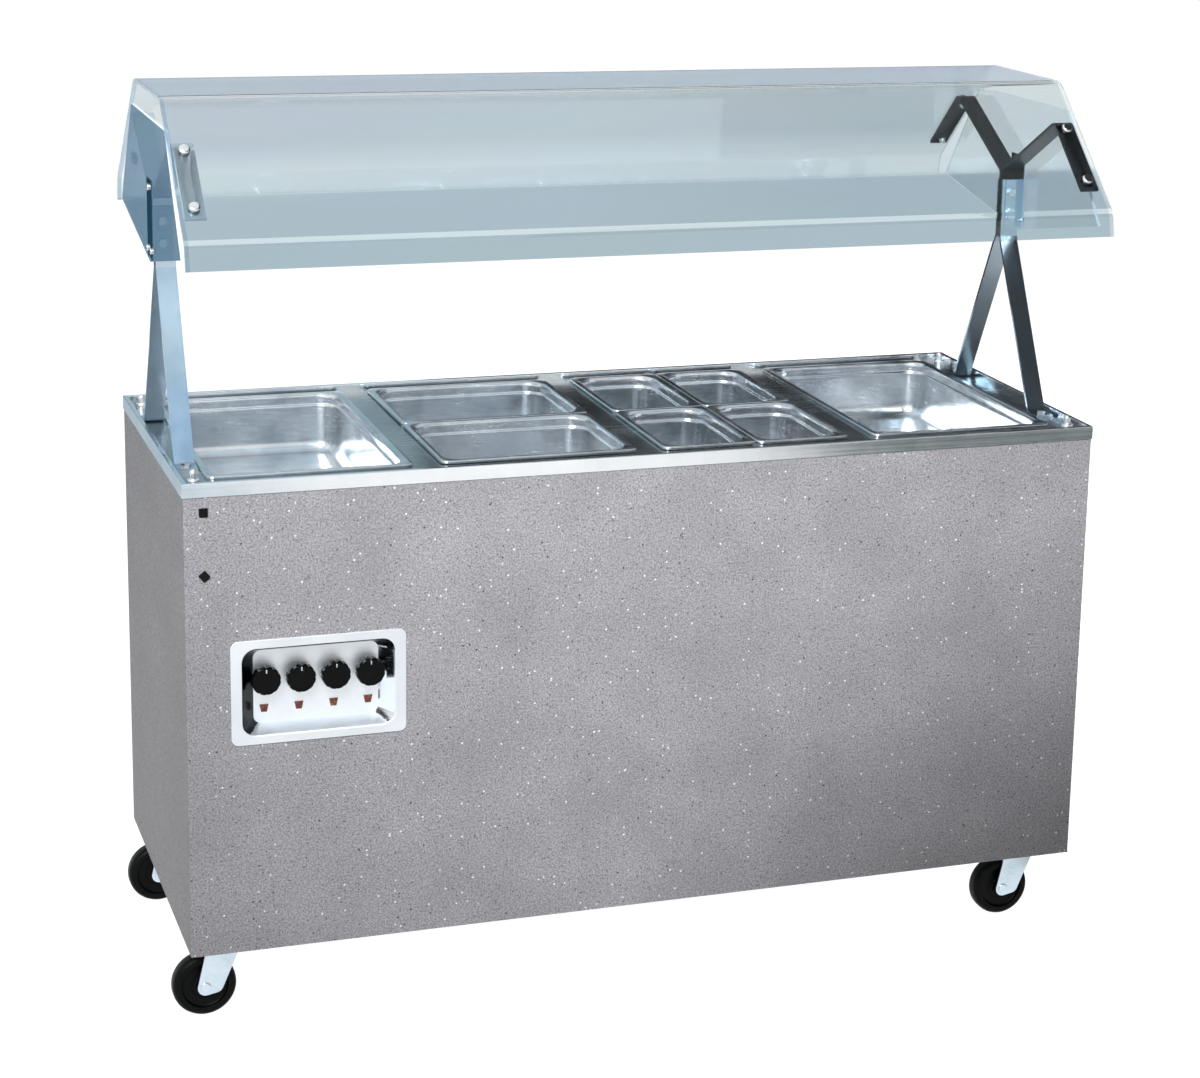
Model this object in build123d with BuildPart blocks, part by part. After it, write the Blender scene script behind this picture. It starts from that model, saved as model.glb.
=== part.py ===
from build123d import *
import os
from math import hypot

# Portable four-well hot-food serving counter with a two-sided acrylic breath guard.
# Millimetres. +X runs along the counter, -Y is the control side, +Z is up.
# The origin is on the floor under the middle of the cabinet.

# Cabinet
length = 1524.0  # over the skirt of the top
depth = 610.0  # over the skirt of the top
worktop_height = 889.0  # floor to the top of the rim
panel_bottom = 126.0  # floor to the lower edge of the panels
panel_thk = 1.5  # vinyl-clad steel
panel_hem = 10.0  # return fold along the lower edge

# Counter top, pressed from one sheet
top_thk = 1.5
skirt_height = 22.0
rim_width = 8.0
deck_sink = 12.0  # deck below the rim
rim_edge_radius = 1.2

# Wells
well_count = 4
well_pitch = 368.0
well_shift = 20.0  # wells sit this far behind the middle of the counter
well_size_x = 305.0
well_size_y = 508.0
well_corner = 30.0
well_depth = 165.0
liner_thk = 1.2
liner_flange = 12.0

# Heating under each well
element_dia = 8.0
element_passes = 4
element_pitch = 70.0
element_bend = 30.0
element_reach = 205.0  # well centre to the turns at either end
element_tail = 28.0  # bare terminal in front of the tray
tray_size_x = 290.0
tray_size_y = 490.0
tray_thk = 1.0
tray_clearance = 0.8  # element to the tray floor

# Pans
pan_size_x = 324.0
pan_size_y = 527.0
pan_flange = 11.5
pan_corner = 36.0
pan_flange_corner = 12.0
pan_depth = 100.0
pan_draft = 3.0  # degrees
pan_wall = 0.9
pan_lip = 5.0  # turned-down edge of the flange
pan_floor_radius = 14.0
pan_gap = 1.0  # between neighbours in one well

# Adapter bars between small pans
bar_width = 17.0
bar_thk = 1.0
bar_web = 10.0
bar_clearance = 3.0  # web ends to the well edge

# Base frame and corner posts
rail_height = 40.0
rail_width = 42.0
rail_thk = 3.0
channel_height = 34.0
bottom_thk = 1.2
post_leg = 38.0
post_thk = 2.0
post_cap_x = 40.0
post_cap_y = 62.0
post_cap_thk = 3.0
notch_clearance = 1.0

# Casters
caster_height = 130.0
caster_inset_x = 65.0  # swivel axis from the end of the top
caster_inset_y = 70.0  # swivel axis from the side of the top
caster_trail = 34.0
wheel_dia = 101.6
wheel_width = 32.0
wheel_shoulder = 7.0
wheel_web = 20.0
wheel_rim_inner = 37.0  # radius where the tread ring meets the web
hub_radius = 14.0
axle_dia = 10.0
axle_head_dia = 17.0
axle_head = 3.0
axle_head_round = 1.5
running_clearance = 0.05
fork_thk = 3.5
fork_gap = 3.0  # wheel side to fork leg
fork_foot_radius = 13.0
fork_foot_reach = 15.0  # foot ahead of the axle
fork_foot_lift = 3.0
fork_crown_radius = 30.0
fork_crown_thk = 5.0
fork_brow = 52.0  # crown length of a leg
fork_brow_back = 6.0  # middle of it behind the swivel axis
hub_clearance = 0.3
plate_x = 96.0
plate_y = 82.0
plate_thk = 3.0
plate_corner = 8.0
plate_bolt_x = 74.0
plate_bolt_y = 58.0
race_radius = 28.0
race_height = 9.5
kingpin_dia = 12.0
kingpin_head_dia = 22.0
kingpin_head = 3.0
swivel_clearance = 0.4

# Control panel, set into the front panel
control_end = 207.0  # middle of the control panel from the end of the top
control_z = 551.0
bezel_flange_x = 17.5  # bezel beside the pocket
bezel_flange_z = 15.0
bezel_corner = 12.0
bezel_thk = 1.5
pocket_margin = 15.45  # pocket mouth beyond the outer knobs
pocket_size_z = 139.0
pocket_corner = 21.0
pocket_run_x = 22.0  # slope of the walls, mouth to floor
pocket_run_z = 10.5
pocket_floor_corner = 12.0
pocket_depth = 28.0  # bezel front to pocket floor
pocket_mouth_radius = 3.0
cutout_clearance = 1.0
knob_count = 4
knob_pitch = 54.7
knob_rise = 16.0  # knob row above the middle of the pocket
light_drop = 51.0  # lights below the knobs
knob_hub_dia = 26.0
knob_hub = 12.0
knob_dia = 46.0
knob_height = 25.0
knob_flutes = 12
knob_flute_dia = 7.0
knob_flute_depth = 1.6
knob_crown_radius = 4.0
knob_stand_off = 0.8  # knob to pocket floor
pointer_width = 2.2
pointer_depth = 0.6
pointer_length = 10.0
shaft_dia = 6.0
shaft_in_knob = 14.0
shaft_in_switch = 12.0
switch_size = 44.0
switch_depth = 34.0
bushing_dia = 10.0
light_size_x = 14.5
light_size_z = 12.5
light_side = 78.0  # degrees, sides of the lens to its upper edge
light_bezel = 2.5
light_draft = 14.0  # degrees
light_body_x = 8.5
light_body_z = 8.0
light_body = 22.0
snap_clearance = 0.2
cover_reach_x = 12.0  # cover beyond the bezel
cover_reach_z = 13.5
cover_depth = 112.0
cover_thk = 1.0
cover_flange = 10.0
terminal_size_x = 80.0
terminal_size_y = 18.0
terminal_size_z = 26.0
terminal_rise = 26.0  # block centre above the lower wall of the cover

# Wiring
loom_dia = 14.0
lead_dia = 4.0
lead_clearance = 0.3
loom_drop = 16.0  # loom above the control box cover
loom_entry = 6.0  # loom inside the cover
cable_dia = 10.0
cable_bend = 60.0
cable_y = -238.0
gland_z = 205.0
gland_flange_dia = 30.0
gland_flange = 6.0
gland_round = 2.0
gland_body_dia = 20.0
gland_body = 16.0
gland_nut = 5.0

# Plugs for the accessory bracket holes, near the front left edge
plug_x = 32.0  # from the end of the top
plug_z = 46.0  # first plug below the rim
plug_spacing = 100.0
plug_size = 14.0
plug_head = 2.5
plug_corner = 2.0
plug_shank_dia = 9.0
plug_shank = 7.0
plug_draft = 14.0  # degrees
plug_turn = 38.0  # degrees that the lower plug is turned

# Dome-headed corner bolts through the deck into the post caps
corner_bolt_inset_x = 25.0
corner_bolt_inset_y = 46.0
collar_dia = 20.0
collar_height = 8.0
collar_round = 2.0
dome_dia = 11.0
dome_height = 15.0
corner_bolt_dia = 8.0
corner_bolt_shank = 14.0

# Breath guard
overall_height = 1448.0
guard_setback = 5.0  # end of the canopy inside the end of the top
canopy_thk = 5.0
canopy_top_half = 131.0  # middle to the upper bend
canopy_bend_half = 341.0  # middle to the lower bend
canopy_bend_drop = 190.0  # lower bend below the canopy top
canopy_lip_half = 349.0  # middle to the lower edge
canopy_lip_drop = 229.0  # lower edge below the canopy top
canopy_top_radius = 40.0
canopy_lip_radius = 24.0
strap_width = 32.0
strap_thk = 5.0
strap_inset = 24.0  # strap centre line from the end of the canopy
strap_bend = 14.0
arm_drop = 169.0  # where the arms leave the stems, below the canopy top
arm_reach = 85.0  # peak of an arm, along the slope from the upper bend
arm_leg = 148.0  # strap length along the slope
upper_stem = 99.0
paint_film = 0.2  # between the two upper stems
lower_stem_drop = 186.0  # upper end of the lower stems below the canopy top
leg_drop = 285.0  # where the legs leave the stems, below the canopy top
leg_spread = 150.0  # middle to the heel of a foot
foot_length = 34.0
foot_bend = 12.0
foot_bolt_reach = 21.0  # heel to the foot bolt
splice_low = 25.0  # lower splice bolt above the end of the upper stems
splice_spacing = 35.0
canopy_bolt_margin = 19.0
end_panel_thk = 5.0
end_top_drop = 46.0  # upper edge below the canopy top
end_side_gap = 4.0  # upper corners to the canopy
end_foot_half = 300.0
end_foot_drop = 220.0  # lower corners below the canopy top
end_point_drop = 275.0  # lower point below the canopy top
clip_thk = 2.0
clip_height = 125.0
clip_half = 26.0
clip_wing = 28.0
clip_bolt_side = 18.0
clip_bolt_margin = 13.0

# Fasteners
bolt_dia = 8.0
bolt_hole_clearance = 0.5  # on the diameter
bolt_head_flats = 13.0
bolt_head = 5.5
nut_height = 6.5
thread_clearance = 0.1
dome_head_dia = 18.0
dome_head = 5.0
dome_head_radius = 3.5
cap_nut_flats = 13.0
cap_nut_height = 6.0
cap_nut_dome_dia = 11.0
cap_nut_dome = 6.0
cap_nut_round = 4.8
small_bolt_dia = 5.0
small_head_dia = 10.0
small_head = 3.0
small_head_round = 1.5
small_nut_flats = 8.0
small_nut_height = 4.0
panel_screws_per_post = 3
panel_screw_margin = 60.0

# Worked-out places
half_x = length / 2
half_y = depth / 2
panel_out_x = half_x - top_thk
panel_out_y = half_y - top_thk
panel_in_x = panel_out_x - panel_thk
panel_in_y = panel_out_y - panel_thk
rim_under = worktop_height - top_thk
deck_top = worktop_height - deck_sink
deck_under = deck_top - top_thk
frame_top = caster_height + rail_height
bolt_hole = bolt_dia + bolt_hole_clearance
small_hole = small_bolt_dia + bolt_hole_clearance
well_centres = [((n - (well_count - 1) / 2) * well_pitch, well_shift) for n in range(well_count)]
left_well, left_middle_well, right_middle_well, right_well = well_centres
ends = (-1, 1)
corners = [(sx, sy) for sx in ends for sy in ends]
low_end = (Align.CENTER, Align.CENTER, Align.MIN)
high_end = (Align.CENTER, Align.CENTER, Align.MAX)


def write(piece, name):
    """Label a finished piece and write it as one STEP file."""
    piece.part.label = name
    export_step(piece.part, f"parts/{name}.step")


def frame_sketch(plane, size, border):
    """Rectangular frame, outer size and border width, drawn on a plane."""
    with BuildSketch(plane) as frame:
        Rectangle(*size)
        Rectangle(*[side - 2 * border for side in size], mode=Mode.SUBTRACT)
    return frame.sketch


def folded_strip(plane, points, radii, thickness, side):
    """Sheet or strap seen edge on: one face along the points, thickness to the given side."""
    with BuildSketch(plane) as strip:
        with BuildLine():
            FilletPolyline(*points, radius=radii)
            offset(amount=thickness, side=side)
        make_face()
    return strip.sketch


os.makedirs("parts", exist_ok=True)

# Panels: front and back run the full length, the ends stand between them
panel_height = rim_under - panel_bottom
panel_middle = panel_bottom + panel_height / 2
control_x = control_end - half_x
control_plane = Plane((control_x, -panel_out_y, control_z), x_dir=(1, 0, 0), z_dir=(0, -1, 0))
knob_span = (knob_count - 1) * knob_pitch
pocket_size_x = knob_span + knob_dia + 2 * pocket_margin
pocket_floor_x = pocket_size_x - 2 * pocket_run_x
pocket_floor_z = pocket_size_z - 2 * pocket_run_z
bezel_size_x = pocket_size_x + 2 * bezel_flange_x
bezel_size_z = pocket_size_z + 2 * bezel_flange_z
cover_size_x = bezel_size_x + 2 * cover_reach_x
cover_size_z = bezel_size_z + 2 * cover_reach_z
plug_plane = Plane((0, -panel_out_y, 0), x_dir=(1, 0, 0), z_dir=(0, -1, 0))
plug_places = [
    (plug_x - half_x, worktop_height - plug_z),
    (plug_x - half_x, worktop_height - plug_z - plug_spacing),
]
gland_place = (control_x, gland_z)
post_low = frame_top
post_high = deck_under - post_cap_thk
screw_step = (post_high - post_low - 2 * panel_screw_margin) / (panel_screws_per_post - 1)
screw_heights = [post_low + panel_screw_margin + n * screw_step for n in range(panel_screws_per_post)]
screw_places = [(sx * (panel_in_x - post_leg / 2), z) for sx in ends for z in screw_heights]


def long_panel(side):
    """Front or back panel with its lower hem, side -1 or 1."""
    with BuildPart() as panel:
        with BuildSketch(Plane.XZ.offset(-side * panel_in_y)):
            with Locations((0, panel_middle)):
                Rectangle(2 * panel_out_x, panel_height)
        extrude(amount=-side * panel_thk)
        with BuildSketch(Plane.XY.offset(panel_bottom)):
            with Locations((0, side * (panel_in_y - panel_hem / 2))):
                Rectangle(2 * panel_in_x, panel_hem)
        extrude(amount=panel_thk)
    return panel.part


front_blank = long_panel(-1)
back_blank = long_panel(1)
with BuildPart() as front_panel:
    add(front_blank)
    with BuildSketch(control_plane):
        cutout = 2 * (bezel_thk + cutout_clearance)
        RectangleRounded(pocket_size_x + cutout, pocket_size_z + cutout, pocket_corner)
    extrude(amount=-panel_thk, mode=Mode.SUBTRACT)
    with BuildSketch(plug_plane):
        with Locations(*plug_places):
            Circle(plug_shank_dia / 2 + snap_clearance)
    extrude(amount=-panel_thk, mode=Mode.SUBTRACT)
write(front_panel, "front_panel")

with BuildPart() as back_panel:
    add(back_blank)
    with BuildSketch(Plane.XZ.offset(-panel_out_y)):
        with Locations(gland_place):
            Circle(gland_body_dia / 2 + snap_clearance)
        with Locations(*screw_places):
            Circle(small_hole / 2)
    extrude(amount=panel_thk, mode=Mode.SUBTRACT)
write(back_panel, "back_panel")

for side, name in zip(ends, ("left_panel", "right_panel")):
    with BuildPart() as end_panel:
        with BuildSketch(Plane.YZ.offset(side * panel_in_x)):
            with Locations((0, panel_middle)):
                Rectangle(2 * panel_in_y, panel_height)
        extrude(amount=side * panel_thk)
        with BuildSketch(Plane.XY.offset(panel_bottom)):
            with Locations((side * (panel_in_x - panel_hem / 2), 0)):
                Rectangle(panel_hem, 2 * (panel_in_y - panel_hem))
        extrude(amount=panel_thk)
    write(end_panel, name)

# Base frame: long angle rails behind the panels, cross channels over the casters
swivel_x = half_x - caster_inset_x
swivel_y = half_y - caster_inset_y
swivel_places = [(sx * swivel_x, sy * swivel_y) for sx, sy in corners]
channel_width = 2 * (panel_in_x - swivel_x)
plate_holes = [
    (x + sx * plate_bolt_x / 2, y + sy * plate_bolt_y / 2) for x, y in swivel_places for sx, sy in corners
]
with BuildPart() as base_frame:
    for side in ends:
        with BuildSketch(Plane.YZ.offset(-panel_in_x)):
            with BuildLine():
                wall = side * panel_in_y
                Polyline(
                    (wall, caster_height),
                    (wall, frame_top),
                    (wall - side * rail_width, frame_top),
                    (wall - side * rail_width, frame_top - rail_thk),
                    (wall - side * rail_thk, frame_top - rail_thk),
                    (wall - side * rail_thk, caster_height),
                    close=True,
                )
            make_face()
        extrude(amount=2 * panel_in_x)
    for side in ends:
        with BuildSketch(Plane.XZ.offset(-(panel_in_y - rail_thk))):
            with Locations((side * swivel_x, caster_height + channel_height / 2)):
                Rectangle(channel_width, channel_height)
            with Locations((side * swivel_x, caster_height + rail_thk + channel_height / 2)):
                Rectangle(channel_width - 2 * rail_thk, channel_height, mode=Mode.SUBTRACT)
        extrude(amount=2 * (panel_in_y - rail_thk))
    with BuildSketch(Plane.XY.offset(caster_height)):
        with Locations(*plate_holes):
            Circle(bolt_hole / 2)
    extrude(amount=rail_thk, mode=Mode.SUBTRACT)
write(base_frame, "base_frame")

with BuildPart() as bottom_panel:
    with BuildSketch(Plane.XY.offset(frame_top)):
        Rectangle(2 * panel_in_x, 2 * panel_in_y)
        notch = post_leg + notch_clearance
        notch_x = panel_in_x - notch / 2
        notch_y = panel_in_y - notch / 2
        with Locations(*[(sx * notch_x, sy * notch_y) for sx, sy in corners]):
            Rectangle(notch, notch, mode=Mode.SUBTRACT)
    extrude(amount=bottom_thk)
write(bottom_panel, "bottom_panel")

# Corner posts: angles that stand on the rails, each with a cap under the deck
corner_bolt_x = half_x - corner_bolt_inset_x
corner_bolt_y = half_y - corner_bolt_inset_y
corner_bolts = [(sx * corner_bolt_x, sy * corner_bolt_y) for sx, sy in corners]
with BuildPart() as corner_posts:
    for sx, sy in corners:
        with BuildSketch(Plane.XY.offset(post_low)):
            with Locations((sx * (panel_in_x - post_leg / 2), sy * (panel_in_y - post_leg / 2))):
                Rectangle(post_leg, post_leg)
            clear = post_leg / 2 + post_thk
            with Locations((sx * (panel_in_x - clear), sy * (panel_in_y - clear))):
                Rectangle(post_leg, post_leg, mode=Mode.SUBTRACT)
        extrude(amount=post_high - post_low)
        with BuildSketch(Plane.XY.offset(post_high)):
            with Locations((sx * (panel_in_x - post_cap_x / 2), sy * (panel_in_y - post_cap_y / 2))):
                Rectangle(post_cap_x, post_cap_y)
        extrude(amount=post_cap_thk)
    with BuildSketch(Plane.XY.offset(post_high)):
        with Locations(*corner_bolts):
            Circle(corner_bolt_dia / 2 + thread_clearance)
    extrude(amount=post_cap_thk, mode=Mode.SUBTRACT)
    with BuildSketch(Plane.XZ.offset(-panel_in_y)):
        with Locations(*screw_places):
            Circle(small_bolt_dia / 2 + thread_clearance)
    extrude(amount=post_thk, mode=Mode.SUBTRACT)
    with BuildSketch(Plane.XZ.offset(panel_in_y)):
        with Locations(*plug_places):
            Circle(plug_shank_dia / 2 + snap_clearance)
    extrude(amount=-post_thk, mode=Mode.SUBTRACT)
write(corner_posts, "corner_posts")

# Counter top: skirt outside the panels, rim, inner wall and sunk deck in one pressing
deck_edge = rim_width - top_thk  # outer edge to the outside of the inner wall
guard_end = length / 2 - guard_setback
strap_x = guard_end - strap_inset
foot_bolts = [(sx * strap_x, sy * (leg_spread + foot_bolt_reach)) for sx, sy in corners]
with BuildPart() as counter_top:
    skirt_plane = Plane.XY.offset(worktop_height - skirt_height)
    extrude(frame_sketch(skirt_plane, (length, depth), top_thk), amount=skirt_height)
    extrude(frame_sketch(Plane.XY.offset(rim_under), (length, depth), rim_width), amount=top_thk)
    wall_size = (length - 2 * deck_edge, depth - 2 * deck_edge)
    wall_height = worktop_height - deck_under
    extrude(frame_sketch(Plane.XY.offset(deck_under), wall_size, top_thk), amount=wall_height)
    with BuildSketch(Plane.XY.offset(deck_under)):
        Rectangle(*wall_size)
        with Locations(*well_centres):
            RectangleRounded(well_size_x, well_size_y, well_corner, mode=Mode.SUBTRACT)
        with Locations(*foot_bolts):
            Circle(bolt_hole / 2, mode=Mode.SUBTRACT)
        with Locations(*corner_bolts):
            Circle((corner_bolt_dia + bolt_hole_clearance) / 2, mode=Mode.SUBTRACT)
    extrude(amount=top_thk)
    rim_edges = counter_top.edges().group_by(Axis.Z)[-1]
    fillet(rim_edges, rim_edge_radius)
write(counter_top, "counter_top")

# Well liners: tubs hung under the deck openings by their flanges
liner_floor = deck_top - well_depth
liner_under = liner_floor - liner_thk
for n, (x, y) in enumerate(well_centres, 1):
    with BuildPart() as well_liner:
        with BuildSketch(Plane.XY.offset(liner_under)):
            with Locations((x, y)):
                walls = 2 * liner_thk
                RectangleRounded(well_size_x + walls, well_size_y + walls, well_corner + liner_thk)
        extrude(amount=deck_under - liner_under)
        with BuildSketch(Plane.XY.offset(deck_under)):
            with Locations((x, y)):
                flange = 2 * (liner_thk + liner_flange)
                RectangleRounded(well_size_x + flange, well_size_y + flange, well_corner + flange / 2)
        extrude(amount=-liner_thk)
        with BuildSketch(Plane.XY.offset(liner_floor)):
            with Locations((x, y)):
                RectangleRounded(well_size_x, well_size_y, well_corner)
        extrude(amount=deck_under - liner_floor, mode=Mode.SUBTRACT)
    write(well_liner, f"well_liner_{n}")

# Heating: a serpentine element in a shallow tray under each liner
element_z = liner_under - lead_clearance - element_dia / 2
tray_inner_floor = element_z - element_dia / 2 - tray_clearance
tray_front = well_shift - tray_size_y / 2
terminal_y = tray_front - element_tail
pass_offsets = [(n - (element_passes - 1) / 2) * element_pitch for n in range(element_passes)]
with BuildPart() as heating_elements:
    for x, y in well_centres:
        a, b, c, d = [x + step for step in pass_offsets]
        with BuildLine(Plane.XY.offset(element_z)) as route:
            FilletPolyline(
                (a, terminal_y),
                (a, y + element_reach),
                (b, y + element_reach),
                (b, y - element_reach),
                (c, y - element_reach),
                (c, y + element_reach),
                (d, y + element_reach),
                (d, terminal_y),
                radius=element_bend,
            )
        with BuildSketch(Plane((a, terminal_y, element_z), x_dir=(1, 0, 0), z_dir=(0, 1, 0))):
            Circle(element_dia / 2)
        sweep(path=route.line)
write(heating_elements, "heating_elements")

with BuildPart() as heater_trays:
    with BuildSketch(Plane.XY.offset(tray_inner_floor - tray_thk)):
        with Locations(*well_centres):
            Rectangle(tray_size_x, tray_size_y)
    extrude(amount=liner_under - tray_inner_floor + tray_thk)
    with BuildSketch(Plane.XY.offset(tray_inner_floor)):
        with Locations(*well_centres):
            Rectangle(tray_size_x - 2 * tray_thk, tray_size_y - 2 * tray_thk)
    extrude(amount=liner_under - tray_inner_floor, mode=Mode.SUBTRACT)
    terminal_xs = [x + step for x, y in well_centres for step in (pass_offsets[0], pass_offsets[-1])]
    slot_radius = element_dia / 2 + lead_clearance
    with BuildSketch(Plane.XZ.offset(-tray_front - tray_thk)):
        with Locations(*[(x, element_z) for x in terminal_xs]):
            Circle(slot_radius)
        with Locations(*[(x, element_z + element_dia / 2) for x in terminal_xs]):
            Rectangle(2 * slot_radius, element_dia)
    extrude(amount=tray_thk, mode=Mode.SUBTRACT)
write(heater_trays, "heater_trays")

# Adapter bars: a bar across the second well and a cross in the third
bar_places = [(left_middle_well, ("X",)), (right_middle_well, ("X", "Y"))]
bar_top = deck_top + bar_thk
with BuildPart() as adapter_bars:
    for (x, y), runs in bar_places:
        for run in runs:
            tab = (pan_size_x, bar_width) if run == "X" else (bar_width, pan_size_y)
            span = (well_size_x if run == "X" else well_size_y) - 2 * bar_clearance
            web = (span, bar_width) if run == "X" else (bar_width, span)
            with BuildSketch(Plane.XY.offset(deck_top)):
                with Locations((x, y)):
                    Rectangle(*tab)
            extrude(amount=bar_thk)
            with BuildSketch(Plane.XY.offset(deck_top)):
                with Locations((x, y)):
                    Rectangle(*web)
            extrude(amount=-bar_web)
        for run in runs:
            span = (well_size_x if run == "X" else well_size_y) - 2 * bar_clearance
            slot = bar_width - 2 * bar_thk
            with BuildSketch(Plane.XY.offset(deck_top)):
                with Locations((x, y)):
                    Rectangle(*((span, slot) if run == "X" else (slot, span)))
            extrude(amount=-bar_web, mode=Mode.SUBTRACT)
write(adapter_bars, "adapter_bars")


# Pans: drawn bodies with a flange whose turned-down edge stands on the deck or on the bars
def drawn_block(size_x, size_y, inset):
    """Drafted block with a rounded floor, its outline drawn in by the inset all round."""
    with BuildPart() as block:
        with BuildSketch():
            RectangleRounded(size_x - 2 * inset, size_y - 2 * inset, pan_corner - inset)
        extrude(amount=inset - pan_depth, taper=pan_draft)
        fillet(block.edges().group_by(Axis.Z)[0], pan_floor_radius - inset)
    return block.part


def pan_body(size_x, size_y):
    """One pan, flange top at the origin."""
    body = (size_x - 2 * pan_flange, size_y - 2 * pan_flange)
    outside = drawn_block(*body, 0)
    inside = drawn_block(*body, pan_wall)
    with BuildPart() as pan:
        with BuildSketch():
            RectangleRounded(size_x, size_y, pan_flange_corner)
        extrude(amount=-pan_wall)
        with BuildSketch():
            inner_x = size_x - 2 * pan_wall
            inner_y = size_y - 2 * pan_wall
            RectangleRounded(size_x, size_y, pan_flange_corner)
            RectangleRounded(inner_x, inner_y, pan_flange_corner - pan_wall, mode=Mode.SUBTRACT)
        extrude(amount=-pan_lip)
        add(outside)
        add(inside, mode=Mode.SUBTRACT)
    return pan.part


half_size_y = (pan_size_y - pan_gap) / 2
quarter_size_x = (pan_size_x - pan_gap) / 2
half_step = (half_size_y + pan_gap) / 2
quarter_step = (quarter_size_x + pan_gap) / 2
full_pan = pan_body(pan_size_x, pan_size_y)
half_pan = pan_body(pan_size_x, half_size_y)
quarter_pan = pan_body(quarter_size_x, half_size_y)
on_deck = deck_top + pan_lip
on_bars = bar_top + pan_lip
pan_places = {
    "pan_full_left": (full_pan, left_well, 0, 0, on_deck),
    "pan_half_front": (half_pan, left_middle_well, 0, -half_step, on_bars),
    "pan_half_back": (half_pan, left_middle_well, 0, half_step, on_bars),
    "pan_quarter_front_left": (quarter_pan, right_middle_well, -quarter_step, -half_step, on_bars),
    "pan_quarter_front_right": (quarter_pan, right_middle_well, quarter_step, -half_step, on_bars),
    "pan_quarter_back_left": (quarter_pan, right_middle_well, -quarter_step, half_step, on_bars),
    "pan_quarter_back_right": (quarter_pan, right_middle_well, quarter_step, half_step, on_bars),
    "pan_full_right": (full_pan, right_well, 0, 0, on_deck),
}
for name, (body, (well_x, well_y), step_x, step_y, z) in pan_places.items():
    with BuildPart() as pan:
        with Locations((well_x + step_x, well_y + step_y, z)):
            add(body)
    write(pan, name)

# Control recess: pressed bezel on the panel with a dished pocket behind it
knob_row = [(n * knob_pitch - knob_span / 2, knob_rise) for n in range(knob_count)]
light_row = [(x, z - light_drop) for x, z in knob_row]
pocket_floor = pocket_depth - bezel_thk  # panel face to the pocket floor
floor_plane = control_plane.offset(-pocket_floor)
floor_back = floor_plane.offset(-bezel_thk)
with BuildPart() as control_recess:
    with BuildSketch(control_plane):
        RectangleRounded(bezel_size_x, bezel_size_z, bezel_corner)
    extrude(amount=bezel_thk)
    walls = 2 * bezel_thk
    with BuildSketch(control_plane):
        RectangleRounded(pocket_size_x + walls, pocket_size_z + walls, pocket_corner + bezel_thk)
    with BuildSketch(floor_back):
        RectangleRounded(pocket_floor_x + walls, pocket_floor_z + walls, pocket_floor_corner + bezel_thk)
    loft()
    with BuildSketch(control_plane.offset(bezel_thk)):
        RectangleRounded(pocket_size_x, pocket_size_z, pocket_corner)
    with BuildSketch(floor_plane):
        RectangleRounded(pocket_floor_x, pocket_floor_z, pocket_floor_corner)
    loft(mode=Mode.SUBTRACT)
    bezel_front = control_recess.faces().sort_by(Axis.Y)[0]
    bezel_rim = bezel_front.outer_wire().edges()
    pocket_mouth = bezel_front.inner_wires()[0].edges()
    fillet(bezel_rim, rim_edge_radius)
    fillet(pocket_mouth, pocket_mouth_radius)
    with BuildSketch(floor_plane):
        with Locations(*knob_row):
            Circle(bushing_dia / 2 + snap_clearance)
        with Locations(*light_row):
            Rectangle(light_body_x + 2 * snap_clearance, light_body_z + 2 * snap_clearance)
    extrude(amount=-bezel_thk, mode=Mode.SUBTRACT)
write(control_recess, "control_recess")

# Heat switches behind the pocket floor, their bushings flush with it
with BuildPart() as heat_switches:
    with BuildSketch(floor_back):
        with Locations(*knob_row):
            RectangleRounded(switch_size, switch_size, plug_corner)
    extrude(amount=-switch_depth)
    with BuildSketch(floor_back):
        with Locations(*knob_row):
            Circle(bushing_dia / 2)
    extrude(amount=bezel_thk)
    with BuildSketch(floor_plane):
        with Locations(*knob_row):
            Circle(shaft_dia / 2 + running_clearance)
    extrude(amount=-(bezel_thk + shaft_in_switch + knob_stand_off), mode=Mode.SUBTRACT)
write(heat_switches, "heat_switches")

# Knobs with their shafts: fluted caps on narrower hubs, with a pointer groove, pushed on round shafts
knob_seat = floor_plane.offset(knob_stand_off)
for n, place in enumerate(knob_row, 1):
    with BuildPart() as knob:
        with BuildSketch(knob_seat):
            with Locations(place):
                Circle(knob_hub_dia / 2)
        extrude(amount=knob_hub)
        with BuildSketch(knob_seat.offset(knob_hub)):
            with Locations(place):
                Circle(knob_dia / 2)
        extrude(amount=knob_height - knob_hub)
        fillet(knob.edges().sort_by(Axis.Y)[0], knob_crown_radius)
        with BuildSketch(knob_seat.offset(knob_hub)):
            with Locations(place):
                with PolarLocations((knob_dia + knob_flute_dia) / 2 - knob_flute_depth, knob_flutes):
                    Circle(knob_flute_dia / 2)
        extrude(amount=knob_height - knob_hub, mode=Mode.SUBTRACT)
        with BuildSketch(knob_seat.offset(knob_height)):
            pointer_middle = (knob_dia - pointer_length) / 2
            with Locations((place[0], place[1] + pointer_middle)):
                Rectangle(pointer_width, pointer_length)
        extrude(amount=-pointer_depth, mode=Mode.SUBTRACT)
        with BuildSketch(knob_seat):
            with Locations(place):
                Circle(shaft_dia / 2 + thread_clearance)
        extrude(amount=shaft_in_knob + thread_clearance, mode=Mode.SUBTRACT)
        with BuildSketch(knob_seat.offset(shaft_in_knob)):
            with Locations(place):
                Circle(shaft_dia / 2)
        extrude(amount=-(shaft_in_knob + knob_stand_off + bezel_thk + shaft_in_switch))
    write(knob, f"knob_{n}")

with BuildPart() as indicator_lights:
    with BuildSketch(floor_plane):
        with Locations(*light_row):
            Trapezoid(light_size_x, light_size_z, light_side, rotation=180)
    extrude(amount=light_bezel, taper=light_draft)
    with BuildSketch(floor_plane):
        with Locations(*light_row):
            Rectangle(light_body_x, light_body_z)
    extrude(amount=-light_body)
write(indicator_lights, "indicator_lights")

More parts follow.
